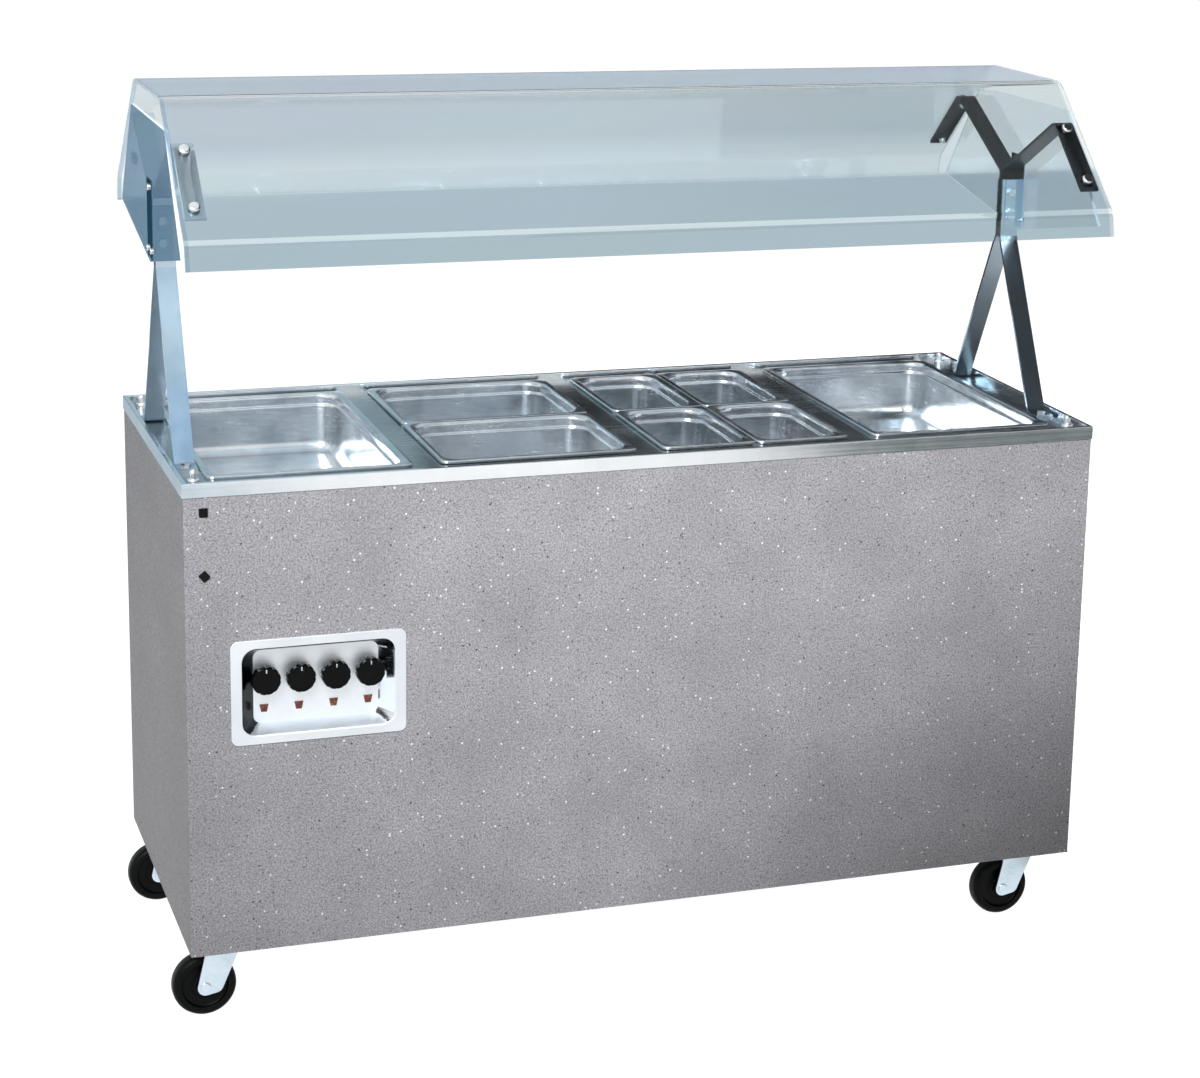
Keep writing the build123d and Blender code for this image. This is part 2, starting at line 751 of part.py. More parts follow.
# Control box cover: folded box on the back of the front panel, round the pocket and switches
cover_plane = control_plane.offset(-panel_thk)
cover_top = control_z + cover_size_z / 2
cover_bottom = control_z - cover_size_z / 2
cover_back = -panel_in_y + cover_depth
loom_y = terminal_y + loom_dia / 2
with BuildPart() as control_box_cover:
    with BuildSketch(cover_plane):
        Rectangle(cover_size_x, cover_size_z)
    extrude(amount=-cover_depth)
    with BuildSketch(cover_plane):
        Rectangle(cover_size_x + 2 * cover_flange, cover_size_z + 2 * cover_flange)
    extrude(amount=-cover_thk)
    with BuildSketch(cover_plane):
        Rectangle(cover_size_x - 2 * cover_thk, cover_size_z - 2 * cover_thk)
    extrude(amount=-(cover_depth - cover_thk), mode=Mode.SUBTRACT)
    with BuildSketch(Plane.XY.offset(cover_top - cover_thk)):
        with Locations((control_x, loom_y)):
            Circle(loom_dia / 2 + lead_clearance)
    extrude(amount=cover_thk, mode=Mode.SUBTRACT)
    with BuildSketch(Plane.XY.offset(cover_bottom)):
        with Locations((control_x, cable_y)):
            Circle(cable_dia / 2 + lead_clearance)
    extrude(amount=cover_thk, mode=Mode.SUBTRACT)
write(control_box_cover, "control_box_cover")

with BuildPart() as terminal_block:
    with BuildSketch(Plane.XZ.offset(-(cover_back - cover_thk))):
        with Locations((control_x, cover_bottom + terminal_rise)):
            Rectangle(terminal_size_x, terminal_size_z)
    extrude(amount=terminal_size_y)
write(terminal_block, "terminal_block")

# Wiring: loom under the element terminals, and the supply cable from the gland to the control box
loom_z = cover_top + loom_drop
loom_end = abs(left_well[0]) + abs(pass_offsets[0]) + loom_dia
lead_high = element_z - element_dia / 2 - lead_clearance
with BuildPart() as wiring_harness:
    with BuildSketch(Plane.YZ.offset(-loom_end)):
        with Locations((loom_y, loom_z)):
            Circle(loom_dia / 2)
    extrude(amount=2 * loom_end)
    with BuildSketch(Plane.XY.offset(loom_z)):
        with Locations(*[(x, loom_y) for x in terminal_xs]):
            Circle(lead_dia / 2)
    extrude(amount=lead_high - loom_z)
    with BuildSketch(Plane.XY.offset(loom_z)):
        with Locations((control_x, loom_y)):
            Circle(loom_dia / 2)
    extrude(amount=-(loom_drop + cover_thk + loom_entry))
    cable_start = panel_out_y
    with BuildLine() as cable_route:
        FilletPolyline(
            (control_x, cable_start, gland_z),
            (control_x, cable_y, gland_z),
            (control_x, cable_y, cover_bottom + cover_thk + loom_entry),
            radius=cable_bend,
        )
    with BuildSketch(Plane((control_x, cable_start, gland_z), x_dir=(1, 0, 0), z_dir=(0, -1, 0))):
        Circle(cable_dia / 2)
    sweep(path=cable_route.line)
write(wiring_harness, "wiring_harness")

with BuildPart() as cord_gland:
    with BuildSketch(Plane.XZ.offset(-panel_out_y)):
        with Locations(gland_place):
            Circle(gland_flange_dia / 2)
    extrude(amount=-gland_flange)
    fillet(cord_gland.edges().sort_by(Axis.Y)[-1], gland_round)
    with BuildSketch(Plane.XZ.offset(-panel_out_y - gland_flange)):
        with Locations(gland_place):
            Circle(gland_body_dia / 2)
    extrude(amount=gland_nut - gland_body)
    with BuildSketch(Plane.XZ.offset(-panel_out_y)):
        with Locations(gland_place):
            Circle(gland_body_dia / 2)
    extrude(amount=panel_thk)
    with BuildSketch(Plane.XZ.offset(-panel_in_y)):
        with Locations(gland_place):
            RegularPolygon(gland_flange_dia / 2, 6)
    extrude(amount=gland_nut)
    with BuildSketch(Plane.XZ.offset(-panel_in_y + gland_nut)):
        with Locations(gland_place):
            Circle(cable_dia / 2 + thread_clearance)
    extrude(amount=-(gland_nut + panel_thk + gland_flange + gland_body), mode=Mode.SUBTRACT)
write(cord_gland, "cord_gland")

with BuildPart() as hole_plugs:
    for place, turn in zip(plug_places, (0, plug_turn)):
        with BuildSketch(plug_plane):
            with Locations(place):
                RectangleRounded(plug_size, plug_size, plug_corner, rotation=turn)
        extrude(amount=plug_head, taper=plug_draft)
        with BuildSketch(plug_plane):
            with Locations(place):
                Circle(plug_shank_dia / 2)
        extrude(amount=-plug_shank)
write(hole_plugs, "hole_plugs")

# Corner bolts: a collar and a tall dome above the deck, a shank into the post cap
with BuildPart() as dome_bolt:
    Cylinder(collar_dia / 2, collar_height, align=low_end)
    fillet(dome_bolt.edges().sort_by(Axis.Z)[-1], collar_round)
    with Locations((0, 0, collar_height)):
        Cylinder(dome_dia / 2, dome_height - dome_dia / 2, align=low_end)
    with Locations((0, 0, collar_height + dome_height - dome_dia / 2)):
        Sphere(dome_dia / 2)
    Cylinder(corner_bolt_dia / 2, corner_bolt_shank, align=high_end)
with BuildPart() as deck_corner_bolts:
    with Locations(*[(x, y, deck_top) for x, y in corner_bolts]):
        add(dome_bolt.part)
write(deck_corner_bolts, "deck_corner_bolts")

# Standard fasteners, made once on the Z axis: heads above the XY plane, nuts above it
with BuildPart() as small_screw:
    Cylinder(small_head_dia / 2, small_head, align=low_end)
    fillet(small_screw.edges().sort_by(Axis.Z)[-1], small_head_round)
    Cylinder(small_bolt_dia / 2, panel_thk + post_thk + small_bolt_dia, align=high_end)
with BuildPart() as back_panel_screws:
    with Locations(*[Plane((x, panel_out_y, z), x_dir=(1, 0, 0), z_dir=(0, 1, 0)) for x, z in screw_places]):
        add(small_screw.part)
write(back_panel_screws, "back_panel_screws")


def hex_bolt(grip):
    """Hexagon bolt, head on the XY plane, shank down through the grip and a nut."""
    with BuildPart() as bolt:
        with BuildSketch():
            RegularPolygon(bolt_head_flats / 2, 6, major_radius=False)
        extrude(amount=bolt_head)
        Cylinder(bolt_dia / 2, grip + nut_height + thread_clearance, align=high_end)
    return bolt.part


with BuildPart() as hex_nut:
    with BuildSketch():
        RegularPolygon(bolt_head_flats / 2, 6, major_radius=False)
        Circle(bolt_dia / 2 + thread_clearance, mode=Mode.SUBTRACT)
    extrude(amount=-nut_height)

# Breath guard canopy: one bent sheet, top panel, two slopes and two lips
slope_run = canopy_bend_half - canopy_top_half
slope_length = hypot(slope_run, canopy_bend_drop)
slope_out = (canopy_bend_drop / slope_length, slope_run / slope_length)  # outward normal in Y and Z


def on_slope(reach, inset):
    """Point of the back slope: reach along it from the upper bend, inset below its outer face."""
    y = canopy_top_half + reach * slope_run / slope_length - inset * slope_out[0]
    z = overall_height - reach * canopy_bend_drop / slope_length - inset * slope_out[1]
    return y, z


def slope_plane(side, reach, inset, x):
    """Plane that faces out of the front or back slope, side -1 or 1."""
    y, z = on_slope(reach, inset)
    return Plane((x, side * y, z), x_dir=(1, 0, 0), z_dir=(0, side * slope_out[0], slope_out[1]))


canopy_bolt_reach = (arm_reach + canopy_bolt_margin, arm_reach + arm_leg - canopy_bolt_margin)
canopy_bolt_places = [
    (side, reach, end * strap_x) for side in ends for reach in canopy_bolt_reach for end in ends
]
back_outline = [
    (canopy_top_half, overall_height),
    (canopy_bend_half, overall_height - canopy_bend_drop),
    (canopy_lip_half, overall_height - canopy_lip_drop),
]
front_outline = [(-y, z) for y, z in reversed(back_outline)]
canopy_radii = [canopy_lip_radius, canopy_top_radius, canopy_top_radius, canopy_lip_radius]
with BuildPart() as canopy:
    canopy_edge = Plane.YZ.offset(-guard_end)
    section = folded_strip(canopy_edge, front_outline + back_outline, canopy_radii, canopy_thk, Side.RIGHT)
    extrude(section, amount=2 * guard_end)
    with Locations(*[slope_plane(side, reach, 0, x) for side, reach, x in canopy_bolt_places]):
        Hole(bolt_hole / 2, canopy_thk)
write(canopy, "canopy")

# Upper straps: stems back to back, arms up to the slopes, legs along the inside of the slopes
arm_height = overall_height - arm_drop
upper_low = arm_height - upper_stem
stem_face = paint_film / 2
stem_back = stem_face + strap_thk
stem_stack = stem_back + strap_thk
splice_heights = [upper_low + splice_low, upper_low + splice_low + splice_spacing]
splice_places = [(sx * strap_x, z) for sx in ends for z in splice_heights]
strap_edge = Plane.YZ.offset(-strap_width / 2)
upper_outline = [
    (stem_face, upper_low),
    (stem_face, arm_height),
    on_slope(arm_reach, canopy_thk),
    on_slope(arm_reach + arm_leg, canopy_thk),
]
with BuildPart() as upper_strap:
    section = folded_strip(strap_edge, upper_outline, strap_bend, strap_thk, Side.RIGHT)
    extrude(section, amount=strap_width)
    with BuildSketch(Plane.XZ):
        with Locations(*[(0, z) for z in splice_heights]):
            Circle(bolt_hole / 2)
    extrude(amount=-stem_back, mode=Mode.SUBTRACT)
    with Locations(*[slope_plane(1, reach, canopy_thk, 0) for reach in canopy_bolt_reach]):
        Hole(bolt_hole / 2, strap_thk)

# Lower straps: stems outside the upper stems, legs spread to feet on the deck
lower_stem_top = overall_height - lower_stem_drop
lower_outline = [
    (stem_back, lower_stem_top),
    (stem_back, overall_height - leg_drop),
    (leg_spread, deck_top),
    (leg_spread + foot_length, deck_top),
]
with BuildPart() as lower_strap:
    section = folded_strip(strap_edge, lower_outline, [strap_bend, foot_bend], strap_thk, Side.LEFT)
    extrude(section, amount=strap_width)
    with BuildSketch(Plane.XZ.offset(-stem_back)):
        with Locations(*[(0, z) for z in splice_heights]):
            Circle(bolt_hole / 2)
    extrude(amount=-strap_thk, mode=Mode.SUBTRACT)
    with BuildSketch(Plane.XY.offset(deck_top)):
        with Locations((0, leg_spread + foot_bolt_reach)):
            Circle(bolt_hole / 2)
    extrude(amount=strap_thk, mode=Mode.SUBTRACT)

half_turn = (0, 0, 180)
strap_places = [Location((sx * strap_x, 0, 0), turn) for sx in ends for turn in ((0, 0, 0), half_turn)]
for kind, strap in (("upper_straps", upper_strap), ("lower_straps", lower_strap)):
    with BuildPart() as straps:
        with Locations(*strap_places):
            add(strap.part)
    write(straps, kind)

# Canopy fasteners: dome screws from outside, cap nuts under the straps
with BuildPart() as dome_screw:
    Cylinder(dome_head_dia / 2, dome_head, align=low_end)
    fillet(dome_screw.edges().sort_by(Axis.Z)[-1], dome_head_radius)
    Cylinder(bolt_dia / 2, canopy_thk + strap_thk + cap_nut_height, align=high_end)
with BuildPart() as cap_nut:
    with BuildSketch():
        RegularPolygon(cap_nut_flats / 2, 6, major_radius=False)
    extrude(amount=-cap_nut_height)
    with Locations((0, 0, -cap_nut_height)):
        Cylinder(cap_nut_dome_dia / 2, cap_nut_dome, align=high_end)
    fillet(cap_nut.edges().sort_by(Axis.Z)[0], cap_nut_round)
    thread_radius = bolt_dia / 2 + thread_clearance
    Cylinder(thread_radius, cap_nut_height + thread_clearance, align=high_end, mode=Mode.SUBTRACT)
with BuildPart() as canopy_fasteners:
    with Locations(*[slope_plane(side, reach, 0, x) for side, reach, x in canopy_bolt_places]):
        add(dome_screw.part)
    nut_inset = canopy_thk + strap_thk
    with Locations(*[slope_plane(side, reach, nut_inset, x) for side, reach, x in canopy_bolt_places]):
        add(cap_nut.part)
write(canopy_fasteners, "canopy_fasteners")

# End panel clips: angles bolted on the front of the stems, wings between strap edges and panel
clip_low = upper_low
clip_top = clip_low + clip_height
clip_inside = strap_x + strap_width / 2
end_inside = clip_inside + clip_thk
clip_bolts = [
    (0, clip_top - clip_bolt_margin),
    (-clip_bolt_side, clip_low + clip_bolt_margin),
    (clip_bolt_side, clip_low + clip_bolt_margin),
]
with BuildPart() as end_panel_clips:
    for side in ends:
        with BuildSketch(Plane.YZ.offset(side * clip_inside)):
            with Locations((0, (clip_low + clip_top) / 2)):
                Rectangle(2 * clip_half, clip_height)
            with Locations(*clip_bolts):
                Circle(small_hole / 2, mode=Mode.SUBTRACT)
        extrude(amount=side * clip_thk)
        with BuildSketch(Plane.XZ.offset(stem_stack)):
            wing_x = side * (end_inside - clip_wing / 2)
            with Locations((wing_x, (clip_low + lower_stem_top) / 2)):
                Rectangle(clip_wing, lower_stem_top - clip_low)
        extrude(amount=clip_thk)
    with BuildSketch(Plane.XZ.offset(stem_stack)):
        with Locations(*splice_places):
            Circle(bolt_hole / 2)
    extrude(amount=clip_thk, mode=Mode.SUBTRACT)
write(end_panel_clips, "end_panel_clips")

# Acrylic end panels: level top edge, sides drawn in from the slopes, pointed lower edge
end_top = overall_height - end_top_drop
end_top_reach = (end_top_drop - canopy_thk * slope_out[1]) * slope_length / canopy_bend_drop
end_top_half = on_slope(end_top_reach, canopy_thk)[0] - end_side_gap
end_foot_height = overall_height - end_foot_drop
for side, name in zip(ends, ("guard_end_left", "guard_end_right")):
    with BuildPart() as guard_end_panel:
        with BuildSketch(Plane.YZ.offset(side * end_inside)):
            with BuildLine():
                Polyline(
                    (-end_top_half, end_top),
                    (end_top_half, end_top),
                    (end_foot_half, end_foot_height),
                    (0, overall_height - end_point_drop),
                    (-end_foot_half, end_foot_height),
                    close=True,
                )
            make_face()
            with Locations(*clip_bolts):
                Circle(small_hole / 2, mode=Mode.SUBTRACT)
        extrude(amount=side * end_panel_thk)
    write(guard_end_panel, name)

with BuildPart() as panel_screw:
    Cylinder(small_head_dia / 2, small_head, align=low_end)
    fillet(panel_screw.edges().sort_by(Axis.Z)[-1], small_head_round)
    Cylinder(small_bolt_dia / 2, end_panel_thk + clip_thk + small_nut_height, align=high_end)
with BuildPart() as small_nut:
    with BuildSketch():
        RegularPolygon(small_nut_flats / 2, 6, major_radius=False)
        Circle(small_bolt_dia / 2 + thread_clearance, mode=Mode.SUBTRACT)
    extrude(amount=-small_nut_height)
with BuildPart() as end_panel_screws:
    for side in ends:
        head_x = side * (end_inside + end_panel_thk)
        nut_x = side * clip_inside
        facing = (side, 0, 0)
        with Locations(*[Plane((head_x, y, z), x_dir=(0, 1, 0), z_dir=facing) for y, z in clip_bolts]):
            add(panel_screw.part)
        with Locations(*[Plane((nut_x, y, z), x_dir=(0, 1, 0), z_dir=facing) for y, z in clip_bolts]):
            add(small_nut.part)
write(end_panel_screws, "end_panel_screws")

# Strap bolts: splice bolts through clip and stems, foot bolts through feet and deck
splice_bolt = hex_bolt(2 * stem_stack + clip_thk)
foot_bolt = hex_bolt(strap_thk + top_thk)
with BuildPart() as strap_bolts:
    head_y = -(stem_stack + clip_thk)
    with Locations(*[Plane((x, head_y, z), x_dir=(1, 0, 0), z_dir=(0, -1, 0)) for x, z in splice_places]):
        add(splice_bolt)
    with Locations(*[Plane((x, stem_stack, z), x_dir=(1, 0, 0), z_dir=(0, -1, 0)) for x, z in splice_places]):
        add(hex_nut.part)
    with Locations(*[(x, y, deck_top + strap_thk) for x, y in foot_bolts]):
        add(foot_bolt)
    with Locations(*[(x, y, deck_under) for x, y in foot_bolts]):
        add(hex_nut.part)
write(strap_bolts, "strap_bolts")

# Casters, made once about the swivel axis: plate with race and kingpin, fork, axle, wheel
wheel_radius = wheel_dia / 2
plate_low = caster_height - plate_thk
race_low = plate_low - race_height
crown_top = race_low - swivel_clearance
crown_low = crown_top - fork_crown_thk
kingpin_low = crown_low - swivel_clearance
leg_inner = wheel_width / 2 + fork_gap
leg_outer = leg_inner + fork_thk
hub_half = leg_inner - hub_clearance
axle_place = (-caster_trail, wheel_radius)
fork_toe = (fork_foot_reach - caster_trail, wheel_radius + fork_foot_lift)

with BuildPart() as top_plate:
    with BuildSketch(Plane.XY.offset(plate_low)):
        RectangleRounded(plate_x, plate_y, plate_corner)
        with GridLocations(plate_bolt_x, plate_bolt_y, 2, 2):
            Circle(bolt_hole / 2, mode=Mode.SUBTRACT)
    extrude(amount=plate_thk)
    with Locations((0, 0, race_low)):
        Cylinder(race_radius, race_height, align=low_end)
    fillet(top_plate.edges().filter_by(GeomType.CIRCLE).sort_by(Axis.Z)[0], plate_thk)
    with Locations((0, 0, kingpin_low)):
        Cylinder(kingpin_dia / 2, race_low - kingpin_low, align=low_end)
        Cylinder(kingpin_head_dia / 2, kingpin_head, align=high_end)

with BuildPart() as fork:
    for side in ends:
        with BuildSketch(Plane.XZ.offset(side * leg_inner)):
            with Locations(axle_place, fork_toe):
                Circle(fork_foot_radius)
            with Locations((-fork_brow_back, crown_top - fork_crown_thk / 2)):
                Rectangle(fork_brow, fork_crown_thk)
            make_hull()
            with Locations(axle_place):
                Circle(axle_dia / 2 + thread_clearance, mode=Mode.SUBTRACT)
        extrude(amount=side * fork_thk)
    with Locations((0, 0, crown_low)):
        Cylinder(fork_crown_radius, fork_crown_thk, align=low_end)
        Cylinder(kingpin_dia / 2 + running_clearance, fork_crown_thk, align=low_end, mode=Mode.SUBTRACT)

with BuildPart() as axle:
    with BuildSketch(Plane.XZ.offset(-leg_outer)):
        with Locations(axle_place):
            Circle(axle_dia / 2)
    extrude(amount=2 * leg_outer)
    for side in ends:
        with BuildSketch(Plane.XZ.offset(side * leg_outer)):
            with Locations(axle_place):
                Circle(axle_head_dia / 2)
        extrude(amount=side * axle_head)
    fillet(axle.edges().group_by(Axis.Y)[0] + axle.edges().group_by(Axis.Y)[-1], axle_head_round)

wheel_plane = Plane((-caster_trail, 0, wheel_radius), x_dir=(0, 1, 0), z_dir=(1, 0, 0))
with BuildPart() as wheel:
    with BuildSketch(wheel_plane) as wheel_section:
        with Locations((0, wheel_radius / 2)):
            Rectangle(wheel_width, wheel_radius)
        fillet(wheel_section.vertices().sort_by(Axis.Y)[-2:], wheel_shoulder)
        for side in ends:
            with Locations((side * wheel_width / 2, wheel_rim_inner / 2)):
                Rectangle(wheel_width - wheel_web, wheel_rim_inner, mode=Mode.SUBTRACT)
        with Locations((0, hub_radius / 2)):
            Rectangle(2 * hub_half, hub_radius)
        bore = axle_dia / 2 + running_clearance
        with Locations((0, bore / 2)):
            Rectangle(2 * hub_half, bore, mode=Mode.SUBTRACT)
    revolve(axis=Axis((-caster_trail, 0, wheel_radius), (0, 1, 0)))

with BuildPart() as caster_top_plates:
    with Locations(*[(x, y, 0) for x, y in swivel_places]):
        add(top_plate.part)
write(caster_top_plates, "caster_top_plates")

plate_bolt = hex_bolt(plate_thk + rail_thk)
with BuildPart() as caster_bolts:
    with Locations(*[Plane((x, y, plate_low), x_dir=(1, 0, 0), z_dir=(0, 0, -1)) for x, y in plate_holes]):
        add(plate_bolt)
    nut_z = caster_height + rail_thk
    with Locations(*[Plane((x, y, nut_z), x_dir=(1, 0, 0), z_dir=(0, 0, -1)) for x, y in plate_holes]):
        add(hex_nut.part)
write(caster_bolts, "caster_bolts")

caster_names = ("front_left", "back_left", "front_right", "back_right")
for name, (x, y) in zip(caster_names, swivel_places):
    for kind, pattern in (("fork", fork), ("axle", axle), ("wheel", wheel)):
        with BuildPart() as caster_piece:
            with Locations((x, y, 0)):
                add(pattern.part)
        write(caster_piece, f"caster_{kind}_{name}")
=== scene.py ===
import math

import bmesh
import bpy
from mathutils import Matrix, Vector


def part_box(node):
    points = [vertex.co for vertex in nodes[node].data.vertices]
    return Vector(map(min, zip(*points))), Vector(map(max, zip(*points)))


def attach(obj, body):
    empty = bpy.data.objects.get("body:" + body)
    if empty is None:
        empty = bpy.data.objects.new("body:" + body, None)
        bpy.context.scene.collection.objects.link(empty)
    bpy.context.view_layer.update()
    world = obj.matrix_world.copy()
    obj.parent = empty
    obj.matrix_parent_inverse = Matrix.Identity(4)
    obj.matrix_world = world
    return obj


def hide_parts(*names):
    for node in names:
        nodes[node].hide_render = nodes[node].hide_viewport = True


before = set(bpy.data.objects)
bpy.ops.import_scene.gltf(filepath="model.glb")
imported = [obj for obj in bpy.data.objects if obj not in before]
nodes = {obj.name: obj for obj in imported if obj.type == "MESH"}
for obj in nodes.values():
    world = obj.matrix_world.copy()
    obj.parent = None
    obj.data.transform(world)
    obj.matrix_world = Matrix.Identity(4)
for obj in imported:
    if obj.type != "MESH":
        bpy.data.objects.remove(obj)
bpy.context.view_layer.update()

# Camera: stands in front of the left end at eye height and looks slightly down along the counter.
# The focal length and the optical centre are in pixels of the 1200 by 1078 picture.
picture_width = 1200
picture_height = 1078
focal_pixels = 2742.09
optical_centre = (690, 400)
camera_place = (-1.39155, -4.28618, 1.95698)
camera_right = Vector((0.942394, -0.333702, 0.023155))
camera_up = Vector((0.054262, 0.220810, 0.973806))
camera_data = bpy.data.cameras.new("camera")
camera_data.sensor_fit = "HORIZONTAL"
camera_data.sensor_width = 36
camera_data.lens = focal_pixels / picture_width * camera_data.sensor_width
camera_data.shift_x = 0.5 - optical_centre[0] / picture_width
camera_data.shift_y = (optical_centre[1] - picture_height / 2) / picture_width
camera_data.clip_end = 200
camera = bpy.data.objects.new("camera", camera_data)
camera_axes = Matrix((camera_right, camera_up, camera_right.cross(camera_up))).transposed()
camera.matrix_world = Matrix.Translation(camera_place) @ camera_axes.to_4x4()
bpy.context.scene.collection.objects.link(camera)
bpy.context.scene.camera = camera

# Studio: a white sweep of floor under an even white sky, a soft key lamp at the front left and a fill behind.
# Cards that only reflections see give the steel its dark and blue sides, as the walls of a studio do.
# A flag keeps part of the key lamp off the low right of the front panel.
bpy.context.scene.view_settings.view_transform = "Standard"
white = (1, 1, 1, 1)
black = (0, 0, 0, 1)


def colour(red, green, blue):
    """Linear colour of a tone given as it looks on screen, 0 to 255."""
    tones = [tone / 255 for tone in (red, green, blue)]
    return (*[tone / 12.92 if tone < 0.0405 else ((tone + 0.055) / 1.055) ** 2.4 for tone in tones], 1)


class Shading:
    """Nodes of a material, a node group or the sky, with short ways to add and join them."""

    mix_under, mix_over, mix_result = 6, 7, 2  # colour sockets of a Mix node

    def __init__(self, tree):
        self.tree = tree

    def feed(self, socket, value):
        """Give an input a plain value, or join it to the output of another node."""
        if isinstance(value, bpy.types.NodeSocket):
            self.tree.links.new(value, socket)
        else:
            socket.default_value = value

    def give(self, node, **values):
        """Give a node its settings and the values of its inputs."""
        for key, value in values.items():
            if hasattr(node, key):
                setattr(node, key, value)
            else:
                self.feed(node.inputs[key.replace("_", " ")], value)
        return node

    def add(self, kind, **values):
        """New node with its settings and the values of its inputs."""
        return self.give(self.tree.nodes.new(kind), **values)

    def calculate(self, operation, *terms):
        """Result of a piece of arithmetic."""
        node = self.add("ShaderNodeMath", operation=operation)
        for socket, term in zip(node.inputs, terms):
            self.feed(socket, term)
        return node.outputs[0]

    def ranged(self, value, low, high, to_low=0, to_high=1):
        """A value held between two limits and stretched to two others."""
        node = self.add("ShaderNodeMapRange", Value=value, From_Min=low, From_Max=high)
        return self.give(node, To_Min=to_low, To_Max=to_high).outputs[0]

    def mixed(self, share, under, over, blend="MIX"):
        """A share of one colour laid over another."""
        node = self.add("ShaderNodeMix", data_type="RGBA", blend_type=blend, Factor=share)
        self.feed(node.inputs[self.mix_under], under)
        self.feed(node.inputs[self.mix_over], over)
        return node.outputs[self.mix_result]

    def place(self):
        """Place on the object, in metres."""
        return self.add("ShaderNodeTexCoord").outputs["Object"]

    def along(self, axis, vector):
        """One axis of a vector."""
        return self.add("ShaderNodeSeparateXYZ", Vector=vector).outputs[axis]


def start_material(name):
    """New node material: the material, its nodes and its surface shader."""
    material = bpy.data.materials.new(name)
    material.use_nodes = True
    return material, Shading(material.node_tree), material.node_tree.nodes["Principled BSDF"]


def seen_rays(shading):
    """1 for rays from the camera and for rays that metal mirrors or glass passes on, 0 for others."""
    rays = shading.add("ShaderNodeLightPath").outputs
    mirrored = shading.calculate("MAXIMUM", rays["Is Camera Ray"], rays["Is Glossy Ray"])
    return shading.calculate("MAXIMUM", mirrored, rays["Is Transmission Ray"])


def studio_sheet(name, middle, across, upright, material):
    """Flat sheet of the studio, given by its middle and its two sides."""
    side, rise = Vector(across) / 2, Vector(upright) / 2
    corners = [Vector(middle) + corner for corner in (-side - rise, side - rise, side + rise, rise - side)]
    mesh = bpy.data.meshes.new(name)
    mesh.from_pydata(corners, [], [(0, 1, 2, 3)])
    mesh.materials.append(material)
    piece = bpy.data.objects.new(name, mesh)
    bpy.context.scene.collection.objects.link(piece)
    return piece


floor_width = 120
floor_grey = (0.15, 0.15, 0.15, 1)
floor_glow = 0.97
floor_material, shading, surface = start_material("studio_floor")
shading.give(surface, Base_Color=floor_grey, Roughness=0.9, Specular_IOR_Level=0.1, Emission_Color=white)
shading.give(surface, Emission_Strength=shading.calculate("MULTIPLY", seen_rays(shading), floor_glow))
floor_sides = (floor_width, 0, 0), (0, floor_width, 0)
studio_floor = studio_sheet("studio_floor", (0, 0, 0), *floor_sides, floor_material)

sky_light = 0.17
sky = bpy.data.worlds.new("studio_sky")
sky.use_nodes = True
bpy.context.scene.world = sky
shading = Shading(sky.node_tree)
sky_level = shading.ranged(seen_rays(shading), 0, 1, sky_light, 1)
shading.give(sky.node_tree.nodes["Background"], Color=white, Strength=sky_level)


def studio_lamp(name, place, aim, wide, high, energy):
    """Soft rectangular lamp that shines from its place towards its aim."""
    lamp_data = bpy.data.lights.new(name, "AREA")
    lamp_data.shape = "RECTANGLE"
    lamp_data.size = wide
    lamp_data.size_y = high
    lamp_data.energy = energy
    lamp = bpy.data.objects.new(name, lamp_data)
    lamp.location = place
    lamp.rotation_euler = (Vector(aim) - lamp.location).to_track_quat("-Z", "Y").to_euler()
    bpy.context.scene.collection.objects.link(lamp)
    return lamp


key = studio_lamp("key", (-2.2, -3.9, 4.05), (-0.09, -0.3, 1.15), wide=2.7, high=1.8, energy=37.5)
key.data.spread = math.radians(43)
fill = studio_lamp("fill", (3.4, 3.4, 2.8), (0.2, 0.3, 0.6), wide=2.4, high=2.4, energy=380)
fill.visible_glossy = False
fill.visible_transmission = False


def card(name, middle, across, upright, tone, mirrored=True, through_glass=False, shades=False, fade=None):
    """Flat card that mirrors see, or rays that have passed through glass, or that only shades the lamps.

    A fade runs along X from white at its first place to the tone of the card at its second.
    """
    material, shading, surface = start_material(name)
    shading.give(surface, Base_Color=black, Specular_IOR_Level=0, Emission_Color=tone, Emission_Strength=1)
    if fade:
        share = shading.ranged(shading.along("X", shading.place()), *fade)
        shading.give(surface, Emission_Color=shading.mixed(share, white, tone))
    piece = studio_sheet(name, middle, across, upright, material)
    piece.visible_camera = False
    piece.visible_diffuse = False
    piece.visible_shadow = shades
    piece.visible_glossy = mirrored
    piece.visible_transmission = through_glass


# Cards behind the counter and at its right, for the deck, the rim, the pans and the guard
card_dark = (0.03, 0.032, 0.033, 1)
card("back_card_left", (-1.3, 1.25, 1.2), (2.6, 0, 0), (0, 0, 0.7), (0.36, 0.5, 0.56, 1))
card("back_card_right", (1.6, 1.25, 1.2), (3.2, 0, 0), (0, 0, 0.7), card_dark)
card("back_card_top", (0.4, 1.25, 1.82), (5.6, 0, 0), (0, 0, 0.5), (0.46, 0.55, 0.65, 1))
card("back_card_low", (0.5, 0.56, 1.04), (0.7, 0, 0), (0, 0, 0.26), card_dark)
card("end_card", (-0.94, 1.2, 1.08), (0.24, 0, 0), (0, 0, 0.56), (0.03, 0.11, 0.19, 1))
card("right_card", (3.2, 0.6, 1.5), (0, 5, 0), (0, 0, 2.6), card_dark)

